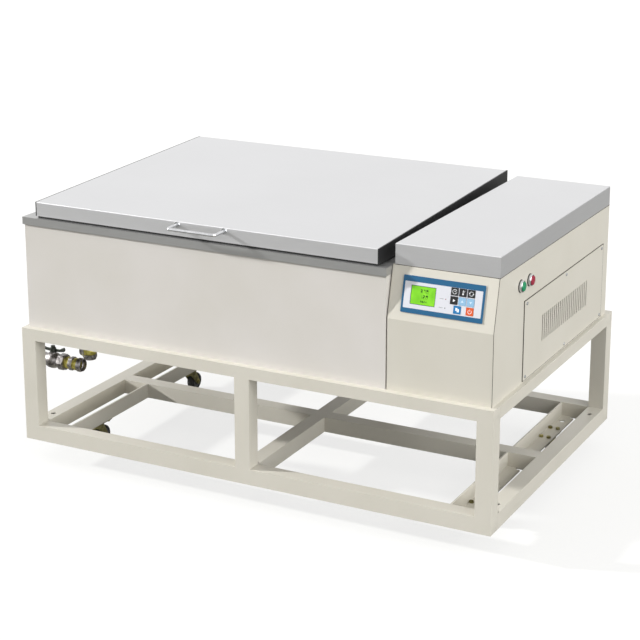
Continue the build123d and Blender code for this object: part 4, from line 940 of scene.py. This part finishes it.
# %% Floor
FLOOR_DROP = 0.3 * MM
FLOOR_LIFT = 0.75
FLOOR_SIZE = 40
FLOOR_GREY = (*srgb(132, 132, 129), 1)
WHITE = (1, 1, 1, 1)
bpy.ops.object.select_all(action="DESELECT")
bpy.ops.mesh.primitive_plane_add(size=FLOOR_SIZE, location=(0, 0, CAD_BOX[0][2] - FLOOR_DROP))
floor = bpy.context.view_layer.objects.active
floor.name = "studio_floor"
settle(floor)
floor_finish = Finish("pale_floor")
to_camera = floor_finish.node("ShaderNodeLightPath", {}, {}, "Is Camera Ray")
floor_finish.set(Base_Color=FLOOR_GREY, Roughness=0.9, Specular_IOR_Level=0.1,
                 Emission_Color=WHITE, Emission_Strength=to_camera * FLOOR_LIFT)
floor.data.materials.append(floor_finish.material)
print("floor at", round(CAD_BOX[0][2] - FLOOR_DROP, 4))

# %% World
WORLD_AT_HORIZON = 0.25
WORLD_OVERHEAD = 0.8
world = bpy.data.worlds.new("studio_world")
bpy.context.scene.world = world
world.use_nodes = True
tree = world.node_tree
tree.nodes.clear()


def world_node(kind, inputs, **settings):
    """Adds a node to the world, makes its settings and fills or links its inputs."""
    made = tree.nodes.new(kind)
    for key, value in settings.items():
        setattr(made, key, value)
    for key, value in inputs.items():
        if isinstance(value, bpy.types.NodeSocket):
            tree.links.new(value, made.inputs[key])
        else:
            made.inputs[key].default_value = value
    return made.outputs


rays = world_node("ShaderNodeLightPath", {})
direction = world_node("ShaderNodeTexCoord", {})["Generated"]
up = world_node("ShaderNodeSeparateXYZ", {0: direction})[2]
level = world_node("ShaderNodeMapRange",
                   {"Value": up, "To Min": WORLD_AT_HORIZON, "To Max": WORLD_OVERHEAD})[0]
lighting = world_node("ShaderNodeBackground", {"Color": WHITE, "Strength": level})[0]
seen = world_node("ShaderNodeBackground", {"Color": WHITE})[0]
white_rays = world_node("ShaderNodeMath", {0: rays["Is Camera Ray"], 1: rays["Is Glossy Ray"]},
                        operation="MAXIMUM")[0]
choice = world_node("ShaderNodeMixShader", {0: white_rays, 1: lighting, 2: seen})[0]
world_node("ShaderNodeOutputWorld", {0: choice})
print("world nodes:", len(tree.nodes))

# %% Lamps
KEY_STRENGTH = 4.2
KEY_AIM = (0.87, 0.30, -0.36)
KEY_WIDTH = math.radians(3)
SOFT_STRENGTH = 2.9
SOFT_AIM = (-0.85, 0.25, -0.30)
SOFT_WIDTH = math.radians(60)


def sun(name, strength, aim, width):
    """A sun that shines along a direction. A wide one has soft shadows."""
    data = bpy.data.lights.new(name, "SUN")
    data.energy = strength
    data.angle = width
    obj = bpy.data.objects.new(name, data)
    obj.rotation_euler = Vector(aim).to_track_quat("-Z", "Y").to_euler()
    bpy.context.collection.objects.link(obj)
    print("lamp", name, "strength", strength)


sun("key_from_left", KEY_STRENGTH, KEY_AIM, KEY_WIDTH)
sun("soft_from_right", SOFT_STRENGTH, SOFT_AIM, SOFT_WIDTH)

# %% [markdown]
# ## Camera
# The photograph was taken with a long lens from the front right, a little above the lid. The shift
# is what its framing needs.

# %% Camera
LENS = 96.14
SENSOR_WIDTH = 36
FRAME_SHIFT = -0.15
CAMERA_PLACE = (1.9294, -3.7083, 1.6470)
CAMERA_TILT = math.radians(75.299)
CAMERA_TURN = math.radians(27.533)
scene = bpy.context.scene
camera_data = bpy.data.cameras.new("photo_camera")
camera_data.lens = LENS
camera_data.sensor_width = SENSOR_WIDTH
camera_data.shift_y = FRAME_SHIFT
camera_data.clip_end = 100
camera = bpy.data.objects.new("photo_camera", camera_data)
camera.location = CAMERA_PLACE
camera.rotation_euler = (CAMERA_TILT, 0, CAMERA_TURN)
bpy.context.collection.objects.link(camera)
scene.camera = camera
scene.view_settings.view_transform = "Standard"
print("camera at", CAMERA_PLACE, "lens", LENS)
